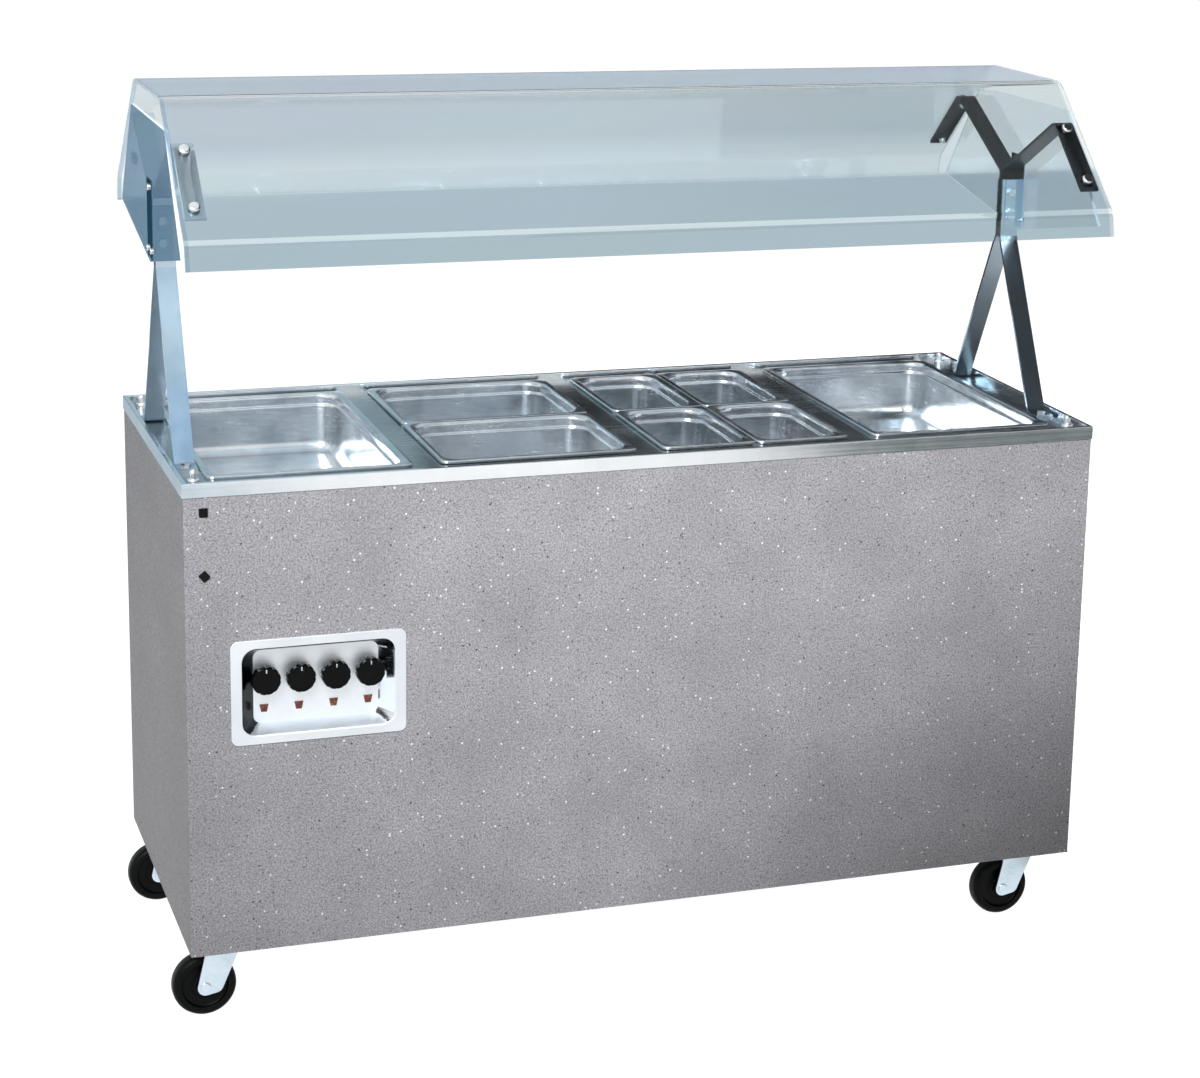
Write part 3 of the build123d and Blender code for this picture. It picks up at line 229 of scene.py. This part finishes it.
# Cards on the floor, for the skirt of the top and the straps, and one that is seen through the guard
near_blue = (0.5, 0.6, 0.67, 1)
far_grey = (0.6, 0.66, 0.7, 1)
card("floor_card", (2.9, -3.6, 0.02), (2.8, 0, 0), (0, 2.6, 0), (0.1, 0.13, 0.13, 1))
card("floor_card_front", (1.1, -1.05, 0.02), (1.6, 0, 0), (0, 0.8, 0), card_dark)
card("floor_card_left", (-0.38, -0.58, 0.02), (0.36, 0, 0), (0, 0.34, 0), card_dark)
card("floor_card_back", (2.2, 1.1, 0.02), (2.6, 0, 0), (0, 2.8, 0), card_dark, fade=(0.9, 1.3))
card("floor_card_near", (-0.35, -3.6, 0.02), (0.95, 0, 0), (0, 1.6, 0), near_blue, fade=(0.1, -0.25))
card("floor_card_end", (-1.3, 3.55, 0.02), (1.2, 0, 0), (0, 1.6, 0), (0.42, 0.52, 0.58, 1))
card("floor_card_right", (1.06, 0.1, 0.03), (0.56, 0, 0), (0, 1.2, 0), card_dark)
card("floor_card_far", (2, 5.5, 0.02), (16, 0, 0), (0, 4.8, 0), far_grey, mirrored=False, through_glass=True)

# Cards overhead, for the canopy and the straps, and the flag in front of the counter
card("sky_card_left", (-2.4, -4.0, 4.4), (6.4, 0, 0), (0, 1.6, 1.6), (0.3, 0.48, 0.66, 1))
card("sky_card_right", (3.6, -3.6, 4.2), (5.0, 0, 0), (0, 2.4, 2.4), card_dark)
card("roof_card", (3.4, 1.2, 3.8), (5.6, 0, 0), (0, 5.8, 0), card_dark, fade=(0.6, 1.4))
card("low_flag", (0.165, -1.2, 0.88), (0.87, 0, 0.267), (0, 0, 0.65), card_dark, mirrored=False, shades=True)

# Base: galvanised rails and channels, with a closed bottom sheet, that carry the panels and the casters.
# They are folded from zinc-coated sheet, like the posts, trays and covers inside, and little of them shows.
noise_low, noise_high = 0.3, 0.7  # limits between which soft noise mostly lies


def start_group(name, inputs, outputs):
    """New shader node group that puts out values: the group, its nodes, its entry and its exit."""
    group = bpy.data.node_groups.new(name, "ShaderNodeTree")
    for socket, (kind, value) in inputs.items():
        group.interface.new_socket(socket, in_out="INPUT", socket_type=kind).default_value = value
    for socket in outputs:
        group.interface.new_socket(socket, in_out="OUTPUT", socket_type="NodeSocketFloat")
    shading = Shading(group)
    return group, shading, shading.add("NodeGroupInput").outputs, shading.add("NodeGroupOutput")


def dress(material, *names):
    """Give CAD nodes a material."""
    for name in names:
        nodes[name].data.materials.clear()
        nodes[name].data.materials.append(material)


def stretched_place(shading, factors):
    """Place on the object, times a factor along each axis."""
    node = shading.add("ShaderNodeVectorMath", operation="MULTIPLY")
    shading.feed(node.inputs[0], shading.place())
    shading.feed(node.inputs[1], factors)
    return node.outputs[0]


# Marks drawn along the grain of rolled or brushed metal, and the faint clouds of handling over them
metal_grain, shading, entry, leave = start_group(
    "metal_grain",
    {"Stretch": ("NodeSocketVector", (3, 400, 400)), "Cloud": ("NodeSocketFloat", 5)},
    ("Streak", "Handling"),
)
drawn = stretched_place(shading, entry["Stretch"])
streak = shading.add("ShaderNodeTexNoise", Vector=drawn, Scale=1, Detail=3)
handling = shading.add("ShaderNodeTexNoise", Vector=shading.place(), Detail=5, Roughness=0.62)
shading.give(handling, Scale=entry["Cloud"])
shading.give(leave, Streak=streak.outputs["Fac"], Handling=handling.outputs["Fac"])


def metal(name, pale, dark, stretch, cloud, smooth, dull, depth):
    """Bare or plated metal: colour and roughness follow the grain and the handling, with a fine bump."""
    material, shading, surface = start_material(name)
    grain = shading.add("ShaderNodeGroup", node_tree=metal_grain, Stretch=stretch, Cloud=cloud).outputs
    handled = shading.ranged(grain["Handling"], noise_low, noise_high)
    both = shading.calculate("ADD", grain["Streak"], grain["Handling"])
    worn = shading.calculate("DIVIDE", both, 2)
    bump = shading.add("ShaderNodeBump", Strength=0.25, Distance=depth, Height=grain["Streak"])
    shading.give(
        surface,
        Base_Color=shading.mixed(handled, dark, pale),
        Metallic=1,
        Roughness=shading.ranged(worn, noise_low, noise_high, smooth, dull),
        Normal=bump.outputs[0],
    )
    return material


galvanised = metal(
    "galvanised_sheet",
    colour(196, 202, 206),
    colour(150, 157, 162),
    stretch=(60, 60, 60),
    cloud=18,
    smooth=0.38,
    dull=0.55,
    depth=0.0002,
)
dress(galvanised, "base_frame", "bottom_panel", "corner_posts", "heater_trays", "control_box_cover")

# Casters: pressed forks and plates in bright zinc under each corner, with solid black rubber wheels.
# Each wheel is moulded on a ribbed hub and turns on a headed axle; the fork swivels under its ball race.
zinc = metal(
    "bright_zinc",
    colour(226, 238, 246),
    colour(190, 208, 220),
    stretch=(40, 40, 220),
    cloud=14,
    smooth=0.22,
    dull=0.4,
    depth=0.0001,
)
caster_names = ("front_left", "back_left", "front_right", "back_right")
dress(zinc, "caster_top_plates")
for name in caster_names:
    dress(zinc, f"caster_fork_{name}", f"caster_axle_{name}")

# Fine pits, scuffs and dust of moulded rubber and plastic
moulded_skin, shading, entry, leave = start_group(
    "moulded_skin",
    {"Pit Scale": ("NodeSocketFloat", 900), "Scuff Scale": ("NodeSocketFloat", 30)},
    ("Pits", "Scuffs"),
)
pits = shading.add("ShaderNodeTexNoise", Vector=shading.place(), Scale=entry["Pit Scale"], Detail=2)
scuffs = shading.add("ShaderNodeTexNoise", Vector=shading.place(), Detail=6, Roughness=0.7)
shading.give(scuffs, Scale=entry["Scuff Scale"])
scuff_low, scuff_high = 0.52, 0.72
scuffed = shading.ranged(scuffs.outputs["Fac"], scuff_low, scuff_high)
shading.give(leave, Pits=pits.outputs["Fac"], Scuffs=scuffed)


def moulded(name, body, worn, smooth, dull, pit_scale, scuff_scale, depth, gloss=0.5):
    """Moulded rubber or plastic with fine pits and worn, dusty patches."""
    material, shading, surface = start_material(name)
    moulding = shading.add("ShaderNodeGroup", node_tree=moulded_skin)
    skin = shading.give(moulding, Pit_Scale=pit_scale, Scuff_Scale=scuff_scale).outputs
    bump = shading.add("ShaderNodeBump", Strength=0.3, Distance=depth, Height=skin["Pits"])
    shading.give(
        surface,
        Base_Color=shading.mixed(skin["Scuffs"], body, worn),
        Roughness=shading.ranged(skin["Scuffs"], 0, 1, smooth, dull),
        Specular_IOR_Level=gloss,
        Normal=bump.outputs[0],
    )
    return material


wheel_rubber = moulded(
    "wheel_rubber",
    colour(4, 5, 6),
    colour(14, 15, 16),
    smooth=0.42,
    dull=0.7,
    pit_scale=700,
    scuff_scale=40,
    depth=0.0003,
    gloss=0.1,
)


def finish_mesh(name, mesh, material, sharp=35):
    """Object from a mesh: smooth shading with sharp edges kept, one material."""
    for face in mesh.polygons:
        face.use_smooth = True
    mesh.set_sharp_from_angle(angle=math.radians(sharp))
    mesh.materials.append(material)
    piece = bpy.data.objects.new(name, mesh)
    bpy.context.scene.collection.objects.link(piece)
    return piece


def lathe(name, outline, centre, steps, material):
    """Closed outline of (offset along Y, radius) turned about a Y axis through the centre."""
    points = []
    for step in range(steps):
        angle = 2 * math.pi * step / steps
        for offset, radius in outline:
            turned = Vector((radius * math.sin(angle), offset, radius * math.cos(angle)))
            points.append(centre + turned)
    count = len(outline)
    faces = []
    for step in range(steps):
        near, far = step * count, (step + 1) % steps * count
        for point in range(count):
            after = (point + 1) % count
            faces.append((near + point, far + point, far + after, near + after))
    mesh = bpy.data.meshes.new(name)
    mesh.from_pydata(points, [], faces)
    mesh.validate()
    made = bmesh.new()
    made.from_mesh(mesh)
    bmesh.ops.recalc_face_normals(made, faces=made.faces)
    made.to_mesh(mesh)
    made.free()
    return finish_mesh(name, mesh, material)


def bend(start, corner, end, steps):
    """Points of a rounded corner: they leave the start, turn at the corner and arrive at the end."""
    start, corner, end = Vector(start), Vector(corner), Vector(end)
    first, second = corner - start, end - corner
    turns = [math.pi / 2 * step / steps for step in range(steps + 1)]
    return [start + first * math.sin(turn) + second * (1 - math.cos(turn)) for turn in turns]


low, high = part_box("caster_wheel_front_left")
tread_radius = (high.z - low.z) / 2
hub_half = (high.y - low.y) / 2
bore_radius = 0.00515
hub_radius = 0.0138
hub_chamfer = 0.0009
hub_fillet = 0.0022
web_half = 0.0098
rib_radius = 0.0216
rib_foot = 0.0011
rib_top = 0.0006
rib_rise = 0.0008
tyre_half = 0.0160
tyre_inner = 0.0366
tyre_fillet = 0.0042
tyre_edge = 0.0012
tyre_shoulder = 0.0428
tread_half = 0.0050
turned_steps = 96
hub_foot = (web_half, hub_radius)
tyre_foot = (web_half, tyre_inner)
tyre_corner = (tyre_half, tyre_inner)
tread_corner = (tyre_half, tread_radius)
wheel_side = [
    (hub_half, bore_radius),
    (hub_half, hub_radius - hub_chamfer),
    (hub_half - hub_chamfer, hub_radius),
    *bend((web_half + hub_fillet, hub_radius), hub_foot, (web_half, hub_radius + hub_fillet), 3),
    (web_half, rib_radius - rib_foot),
    (web_half + rib_rise, rib_radius - rib_top),
    (web_half + rib_rise, rib_radius + rib_top),
    (web_half, rib_radius + rib_foot),
    *bend((web_half, tyre_inner - tyre_fillet), tyre_foot, (web_half + tyre_fillet, tyre_inner), 3),
    *bend((tyre_half - tyre_edge, tyre_inner), tyre_corner, (tyre_half, tyre_inner + tyre_edge), 3),
    *bend((tyre_half, tyre_shoulder), tread_corner, (tread_half, tread_radius), 5),
]
wheel_outline = [(-offset, radius) for offset, radius in wheel_side] + list(reversed(wheel_side))
for name in caster_names:
    low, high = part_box(f"caster_wheel_{name}")
    tyre = lathe(f"wheel_{name}_tyre", wheel_outline, (low + high) / 2, turned_steps, wheel_rubber)
    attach(tyre, f"wheel_{name}")
    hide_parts(f"caster_wheel_{name}")

# Plate bolts: hexagon bolts and nuts, bright plated, that hold the caster plates to the channels.
# The same plating is on the screws of the back panel and on the bolts and nuts of the guard.
bright_plate = metal(
    "bright_plate",
    colour(236, 240, 243),
    colour(205, 211, 216),
    stretch=(300, 300, 300),
    cloud=60,
    smooth=0.12,
    dull=0.24,
    depth=0.00005,
)
dress(bright_plate, "caster_bolts", "back_panel_screws")
dress(bright_plate, "strap_bolts", "canopy_fasteners", "end_panel_screws")

# Panels: steel sheets clad in speckled grey vinyl that looks like fine granite, screwed round the frame.
# The film is embossed with a close grain, with dark pits and white flecks scattered through it.
# The two ends are darker than the front and the back: painted shade.
vinyl, shading, surface = start_material("speckled_vinyl")
vinyl_place = stretched_place(shading, (1, 0.6, 1))


def vinyl_noise(scale, detail, rough):
    """Soft noise over the panels at a scale in lumps to the metre."""
    noise = shading.add("ShaderNodeTexNoise", Vector=vinyl_place, Scale=scale, Detail=detail, Roughness=rough)
    return noise.outputs["Fac"]


def vinyl_flecks(scale, reach, share):
    """Round flecks in a share of the cells of a scattered pattern: 1 inside, 0 outside."""
    full_part = 0.6
    cells = shading.add("ShaderNodeTexVoronoi", Vector=vinyl_place, Scale=scale, Randomness=1).outputs
    draw = shading.add("ShaderNodeSeparateColor", Color=cells["Color"]).outputs[0]
    fleck = shading.ranged(cells["Distance"], reach, reach * full_part)
    return shading.calculate("MULTIPLY", fleck, shading.calculate("LESS_THAN", draw, share))


grain = shading.ranged(vinyl_noise(scale=340, detail=3, rough=0.8), noise_low, noise_high)
cloud_low, cloud_high, cloud_share = 0.32, 0.68, 0.3
clouds = shading.ranged(vinyl_noise(scale=6, detail=4, rough=0.6), cloud_low, cloud_high, 0, cloud_share)
vinyl_tone = shading.mixed(grain, colour(98, 97, 102), colour(216, 215, 220))
vinyl_tone = shading.mixed(clouds, vinyl_tone, colour(114, 112, 120))
grey_specks = vinyl_flecks(scale=170, reach=0.3, share=0.12)
vinyl_tone = shading.mixed(grey_specks, vinyl_tone, colour(112, 109, 112))
dark_pits = vinyl_flecks(scale=95, reach=0.18, share=0.1)
vinyl_tone = shading.mixed(dark_pits, vinyl_tone, colour(64, 61, 64))
white_flecks = vinyl_flecks(scale=110, reach=0.22, share=0.14)
vinyl_tone = shading.mixed(white_flecks, vinyl_tone, colour(248, 248, 247))
# Painted shade: faces that look along the counter are mixed towards a dark tone.
end_from, end_share = 0.5, 0.27
facing = shading.add("ShaderNodeTexCoord").outputs["Normal"]
sideways = shading.calculate("ABSOLUTE", shading.along("X", facing))
painted_end_shade = shading.ranged(sideways, end_from, 1, 0, end_share)
vinyl_tone = shading.mixed(painted_end_shade, vinyl_tone, colour(58, 57, 60))
vinyl_smooth, vinyl_dull = 0.45, 0.62
emboss = shading.add("ShaderNodeBump", Strength=0.35, Distance=0.0008, Height=grain)
shading.give(
    surface,
    Base_Color=vinyl_tone,
    Roughness=shading.ranged(grain, 0, 1, vinyl_smooth, vinyl_dull),
    Specular_IOR_Level=0.3,
    Normal=emboss.outputs[0],
)
dress(vinyl, "front_panel", "back_panel", "left_panel", "right_panel")

# Counter top: one pressing of stainless steel with a turned-down skirt, a raised rim and a sunk deck.
# The skirt and rim are polished; the deck is brushed along the counter and darker in tone than the rim.
rim_steel = metal(
    "polished_rim",
    colour(250, 252, 253),
    colour(230, 236, 240),
    stretch=(4, 500, 500),
    cloud=6,
    smooth=0.1,
    dull=0.2,
    depth=0.00004,
)
deck_steel = metal(
    "brushed_deck",
    colour(186, 192, 194),
    colour(146, 153, 157),
    stretch=(4, 700, 700),
    cloud=6,
    smooth=0.18,
    dull=0.3,
    depth=0.00006,
)


def highest(mesh, face):
    """Height of the highest corner of a face."""
    return max(mesh.vertices[corner].co.z for corner in face.vertices)


def dress_faces(material, name, chosen):
    """Give the chosen faces of a CAD node one more material."""
    mesh = nodes[name].data
    mesh.materials.append(material)
    for face in mesh.polygons:
        if chosen(mesh, face):
            face.material_index = len(mesh.materials) - 1


straight = 0.9  # least share of a face's direction along the axis that it is taken to face
rim_rise = 0.009
deck_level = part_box("counter_top")[1].z - rim_rise
dress(rim_steel, "counter_top")
dress_faces(
    deck_steel,
    "counter_top",
    lambda mesh, face: highest(mesh, face) < deck_level and abs(face.normal.z) > straight,
)

# Well liners and adapter bars: stainless tubs hung under the deck openings, and bars between small pans.
# The liners are drawn from sheet and the bars are folded; both are duller than the pans.
well_steel = metal(
    "well_steel",
    colour(190, 196, 198),
    colour(150, 156, 160),
    stretch=(6, 300, 300),
    cloud=9,
    smooth=0.3,
    dull=0.48,
    depth=0.0001,
)
dress(well_steel, "well_liner_1", "well_liner_2", "well_liner_3", "well_liner_4", "adapter_bars")

# Heating: a dark oxidised tubular element lies in a tray under each well, wired at the front.
# Nothing of it shows, and it keeps its own finish.
element_sheath = metal(
    "element_sheath",
    colour(96, 90, 86),
    colour(58, 52, 50),
    stretch=(90, 90, 90),
    cloud=25,
    smooth=0.45,
    dull=0.65,
    depth=0.0001,
)
dress(element_sheath, "heating_elements")

# Pans: drawn stainless steam-table pans with a rolled flange that stands on the deck or on the bars.
# The wall has a small stacking shoulder and a wide radius to the floor; the inside is bright satin.
# The section of a pan has points of inset from the flange edge, height and radius of the corner.
pan_steel = metal(
    "pan_steel",
    colour(228, 231, 234),
    colour(196, 202, 207),
    stretch=(30, 30, 260),
    cloud=11,
    smooth=0.16,
    dull=0.3,
    depth=0.00006,
)
flange_drop = 0.0050
flange_edge = 0.0018
flange_reach = 0.0070
flange_corner = 0.0120
throat_inset = 0.0124
throat_drop = 0.0045
throat_foot = 0.0110
throat_corner = 0.0360
shoulder_drop = 0.0190
shoulder_step = 0.0030
shoulder_round = 0.0020
shoulder_inset = throat_inset + shoulder_step / 2
wall_inset = throat_inset + shoulder_step
wall_top = 0.0250
wall_corner = 0.0340
foot_inset = 0.0182
foot_drop = 0.0740
foot_corner = 0.0320
floor_inset = 0.0316
floor_drop = 0.0990
floor_corner = 0.0190
floor_crown = 0.0006
pan_sheet = 0.0009
pan_sharp = 50
corner_steps = 10
pan_section = [
    (0, -flange_drop, flange_corner),
    *bend((0, -flange_edge, flange_corner), (0, 0, flange_corner), (flange_edge, 0, flange_corner), 4),
    *bend(
        (flange_reach, 0, flange_corner + flange_reach),
        (throat_inset, 0, throat_corner),
        (throat_inset, -throat_drop, throat_corner),
        5,
    ),
    (throat_inset, -throat_foot, throat_corner),
    *bend(
        (throat_inset, shoulder_round - shoulder_drop, throat_corner),
        (throat_inset, -shoulder_drop, throat_corner),
        (shoulder_inset, -shoulder_drop, wall_corner),
        3,
    ),
    *bend(
        (shoulder_inset, -shoulder_drop, wall_corner),
        (wall_inset, -shoulder_drop, wall_corner),
        (wall_inset, -shoulder_drop - shoulder_round, wall_corner),
        3,
    )[1:],
    (wall_inset, -wall_top, wall_corner),
    *bend(
        (foot_inset, -foot_drop, foot_corner),
        (foot_inset, -floor_drop, foot_corner),
        (floor_inset, -floor_drop, floor_corner),
        5,
    ),
]


def rounded_ring(half_x, half_y, radius, z):
    """Points of a rounded rectangle about the Z axis, anticlockwise."""
    ring = []
    for corner, (side_x, side_y) in enumerate(((1, 1), (-1, 1), (-1, -1), (1, -1))):
        for step in range(corner_steps + 1):
            angle = math.radians(90 * (corner + step / corner_steps))
            x = side_x * (half_x - radius) + radius * math.cos(angle)
            y = side_y * (half_y - radius) + radius * math.sin(angle)
            ring.append(Vector((x, y, z)))
    return ring


def drawn_pan(name):
    """Pan skin from its flange edge to the middle of its floor, in the place of its CAD node."""
    low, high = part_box(name)
    middle = Vector(((low.x + high.x) / 2, (low.y + high.y) / 2, high.z))
    half_x, half_y = (high.x - low.x) / 2, (high.y - low.y) / 2
    points, faces = [], []
    for inset, z, radius in pan_section:
        points += [middle + point for point in rounded_ring(half_x - inset, half_y - inset, radius, z)]
    count = 4 * (corner_steps + 1)
    for ring in range(len(pan_section) - 1):
        near, far = ring * count, (ring + 1) * count
        for point in range(count):
            after = (point + 1) % count
            faces.append((near + point, near + after, far + after, far + point))
    points.append(middle + Vector((0, 0, floor_crown - floor_drop)))
    last = (len(pan_section) - 1) * count
    for point in range(count):
        faces.append((last + point, last + (point + 1) % count, len(points) - 1))
    mesh = bpy.data.meshes.new(name + "_skin")
    mesh.from_pydata(points, [], faces)
    piece = finish_mesh(name + "_skin", mesh, pan_steel, pan_sharp)
    sheet = piece.modifiers.new("sheet", "SOLIDIFY")
    sheet.thickness = pan_sheet
    sheet.offset = -1
    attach(piece, name)
    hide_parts(name)


for name in nodes:
    if name.startswith("pan_"):
        drawn_pan(name)

# Control panel: a pressed steel recess let into the front panel, with black knobs and small red lamps.
# Its bezel, floor and lower wall are satin, the right wall is polished, the upper and left walls are a dark
# copy of the steel: painted shade.
# The knobs are phenolic with a pale pointer line; switches and terminals are hidden behind the pocket.
recess_grain = dict(stretch=(8, 300, 300), cloud=7, depth=0.00003)
polished_recess = metal(
    "polished_recess", colour(240, 243, 246), colour(220, 226, 231), smooth=0.1, dull=0.2, **recess_grain
)
satin_recess = metal(
    "satin_recess", colour(238, 242, 246), colour(224, 230, 235), smooth=0.4, dull=0.52, **recess_grain
)
# Painted shade: the same steel in a dark tone for the upper and left walls of the pocket.
painted_shade_recess = metal(
    "painted_shade_recess", colour(74, 80, 84), colour(52, 57, 60), smooth=0.12, dull=0.24, **recess_grain
)
side_wall = 0.4  # least share of a side wall's direction that lies along the counter
upper_wall = 0.3  # least share of the upper wall's direction that points down
dress(polished_recess, "control_recess")
dress_faces(satin_recess, "control_recess", lambda mesh, face: face.normal.x > -side_wall)
dress_faces(
    painted_shade_recess,
    "control_recess",
    lambda mesh, face: face.normal.x > side_wall or face.normal.z < -upper_wall,
)
knob_black = moulded(
    "knob_black",
    colour(5, 6, 7),
    colour(12, 13, 14),
    smooth=0.12,
    dull=0.3,
    pit_scale=1200,
    scuff_scale=60,
    depth=0.00005,
    gloss=0.1,
)
dress(knob_black, "knob_1", "knob_2", "knob_3", "knob_4")
dark_plastic = moulded(
    "dark_plastic",
    colour(18, 18, 18),
    colour(40, 39, 38),
    smooth=0.4,
    dull=0.6,
    pit_scale=900,
    scuff_scale=50,
    depth=0.0001,
)
dress(dark_plastic, "heat_switches", "terminal_block", "cord_gland")
cable_sheath = moulded(
    "cable_sheath",
    colour(24, 24, 25),
    colour(50, 49, 48),
    smooth=0.5,
    dull=0.7,
    pit_scale=600,
    scuff_scale=30,
    depth=0.0002,
)
dress(cable_sheath, "wiring_harness")
lamp_lens = moulded(
    "lamp_lens",
    colour(92, 40, 28),
    colour(150, 102, 72),
    smooth=0.15,
    dull=0.3,
    pit_scale=500,
    scuff_scale=180,
    depth=0.0003,
)
dress(lamp_lens, "indicator_lights")

pointer_paint = moulded(
    "pointer_paint",
    colour(214, 220, 222),
    colour(170, 176, 178),
    smooth=0.4,
    dull=0.6,
    pit_scale=1500,
    scuff_scale=300,
    depth=0.00003,
)
pointer_width = 0.0019
pointer_long = 0.0058
pointer_rise = 0.0004
pointer_sink = 0.0001
pointer_bevel = 0.00015
knob_crown = 0.004
for n in range(1, 5):
    low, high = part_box(f"knob_{n}")
    knob_radius = (high.x - low.x) / 2
    tip = (low.z + high.z) / 2 + knob_radius - knob_crown
    pointer_place = ((low.x + high.x) / 2, low.y + pointer_rise / 2 + pointer_sink, tip - pointer_long / 2)
    made = bmesh.new()
    bmesh.ops.create_cube(made, size=1)
    bmesh.ops.scale(made, verts=made.verts, vec=(pointer_width, pointer_rise, pointer_long))
    bmesh.ops.translate(made, verts=made.verts, vec=pointer_place)
    bmesh.ops.bevel(made, geom=made.edges[:], offset=pointer_bevel, segments=2, affect="EDGES")
    mesh = bpy.data.meshes.new(f"knob_{n}_pointer")
    made.to_mesh(mesh)
    made.free()
    pointer = finish_mesh(f"knob_{n}_pointer", mesh, pointer_paint)
    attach(pointer, f"knob_{n}")

# Hole plugs: black snap-in plastic caps over two spare bracket holes near the left edge of the front.
# The lower one has turned in its hole.
plug_plastic = moulded(
    "plug_plastic",
    colour(9, 9, 9),
    colour(24, 23, 22),
    smooth=0.3,
    dull=0.5,
    pit_scale=900,
    scuff_scale=80,
    depth=0.0001,
    gloss=0.15,
)
dress(plug_plastic, "hole_plugs")

# Corner bolts: dome-headed bolts with collars, through the deck into the post caps.
# Their plating is paler and softer than that of the other fasteners.
dome_plate = metal(
    "dome_plate",
    colour(246, 249, 251),
    colour(228, 233, 237),
    stretch=(300, 300, 300),
    cloud=60,
    smooth=0.3,
    dull=0.42,
    depth=0.00005,
)
dress(dome_plate, "deck_corner_bolts")

# Guard straps: flat steel bars bent cold and bolted back to back, polished so that they mirror the room.
# The upper pair at the left is a bright copy of the steel and the one at the right a dark copy: painted light
# and painted shade, as each looks in its own light.
# The lower straps and the clips of the end panels are a little duller than the bright ones.
strap_grain = dict(stretch=(500, 500, 30), cloud=9, smooth=0.18, depth=0.00001)
# Painted light and painted shade: one polished steel in a bright copy for the left and a dark copy for the
# right.
painted_light_strap = metal("painted_light_strap", colour(240, 246, 250), colour(228, 235, 240), dull=0.24, **strap_grain)
painted_shade_strap = metal("painted_shade_strap", colour(30, 32, 34), colour(22, 24, 26), dull=0.24, **strap_grain)
lower_strap = metal("polished_strap", colour(196, 212, 224), colour(172, 190, 204), dull=0.26, **strap_grain)
dress(painted_light_strap, "upper_straps")
dress_faces(painted_shade_strap, "upper_straps", lambda mesh, face: face.center.x > 0)
dress(lower_strap, "lower_straps", "end_panel_clips")

# Breath guard: clear acrylic sheet, heat-bent along four lines, with two flat end panels on angle clips.
# It has a blue-grey cast. Painted shade deepens it on the serving side and at the left end,
# and painted light clears it at the far lip and at the right end. Lamp light passes through it to the pans.
acrylic, shading, surface = start_material("clear_acrylic")
wiped = stretched_place(shading, (1.4, 10, 10))
haze = shading.add("ShaderNodeTexNoise", Vector=wiped, Scale=1, Detail=4, Roughness=0.55).outputs
along_counter = shading.along("X", shading.place())
across_counter = shading.along("Y", shading.place())
far_lip_painted_light = shading.ranged(across_counter, 0.27, 0.34)
serving_side_painted_shade = shading.ranged(across_counter, -0.12, -0.3)
end_margin = 0.0002
end_blend = 0.0004
end_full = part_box("guard_end_right")[0].x - end_margin
right_end_painted_light = shading.ranged(along_counter, end_full - end_blend, end_full)
left_end_painted_shade = shading.ranged(along_counter, end_blend - end_full, -end_full)
# Painted shade and painted light: the cast is deepened on the serving side and the left end and cleared at
# the far lip and the right end.
cast = shading.mixed(far_lip_painted_light, (0.7, 0.76, 0.8, 1), (0.95, 0.97, 0.98, 1))
cast = shading.mixed(serving_side_painted_shade, cast, (0.66, 0.78, 0.83, 1))
cast = shading.mixed(right_end_painted_light, cast, (0.94, 0.97, 0.98, 1))
cast = shading.mixed(left_end_painted_shade, cast, (0.5, 0.63, 0.74, 1))
haze_share = 0.12
haze_dull = 0.05
shading.give(
    surface,
    Base_Color=shading.mixed(haze_share, cast, haze["Color"], "MULTIPLY"),
    Roughness=shading.ranged(haze["Fac"], 0, 1, 0, haze_dull),
    IOR=1.49,
    Specular_IOR_Level=0.3,
    Transmission_Weight=1,
)
lamp_light = shading.add("ShaderNodeBsdfTransparent", Color=(0.86, 0.9, 0.92, 1))
rays = shading.add("ShaderNodeLightPath").outputs
lamp_rays = shading.calculate("MAXIMUM", rays["Is Shadow Ray"], rays["Is Diffuse Ray"])
sheet = shading.add("ShaderNodeMixShader", Fac=lamp_rays)
shading.feed(sheet.inputs[1], surface.outputs[0])
shading.feed(sheet.inputs[2], lamp_light.outputs[0])
shading.give(acrylic.node_tree.nodes["Material Output"], Surface=sheet.outputs[0])
dress(acrylic, "canopy", "guard_end_left", "guard_end_right")

# Sawn and polished edges of the sheets, which look white: a pale opaque material with a faint glow, painted
# light
edge_glow_tone = colour(214, 224, 230)
edge_acrylic = moulded(
    "acrylic_edge",
    edge_glow_tone,
    colour(190, 203, 211),
    smooth=0.2,
    dull=0.4,
    pit_scale=600,
    scuff_scale=40,
    depth=0.00005,
)
edge_surface = edge_acrylic.node_tree.nodes["Principled BSDF"]
# Painted light: the edges glow faintly, though they are no lamp.
Shading(edge_acrylic.node_tree).give(edge_surface, Emission_Color=edge_glow_tone, Emission_Strength=0.3)
edge_margin = 0.001
lip_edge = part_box("canopy")[0].z + edge_margin
sheet_face = 0.5  # least share of an end panel's broad face that points along the counter
dress_faces(
    edge_acrylic,
    "canopy",
    lambda mesh, face: abs(face.normal.x) > straight or highest(mesh, face) < lip_edge,
)
for name in ("guard_end_left", "guard_end_right"):
    dress_faces(edge_acrylic, name, lambda mesh, face: abs(face.normal.x) < sheet_face)
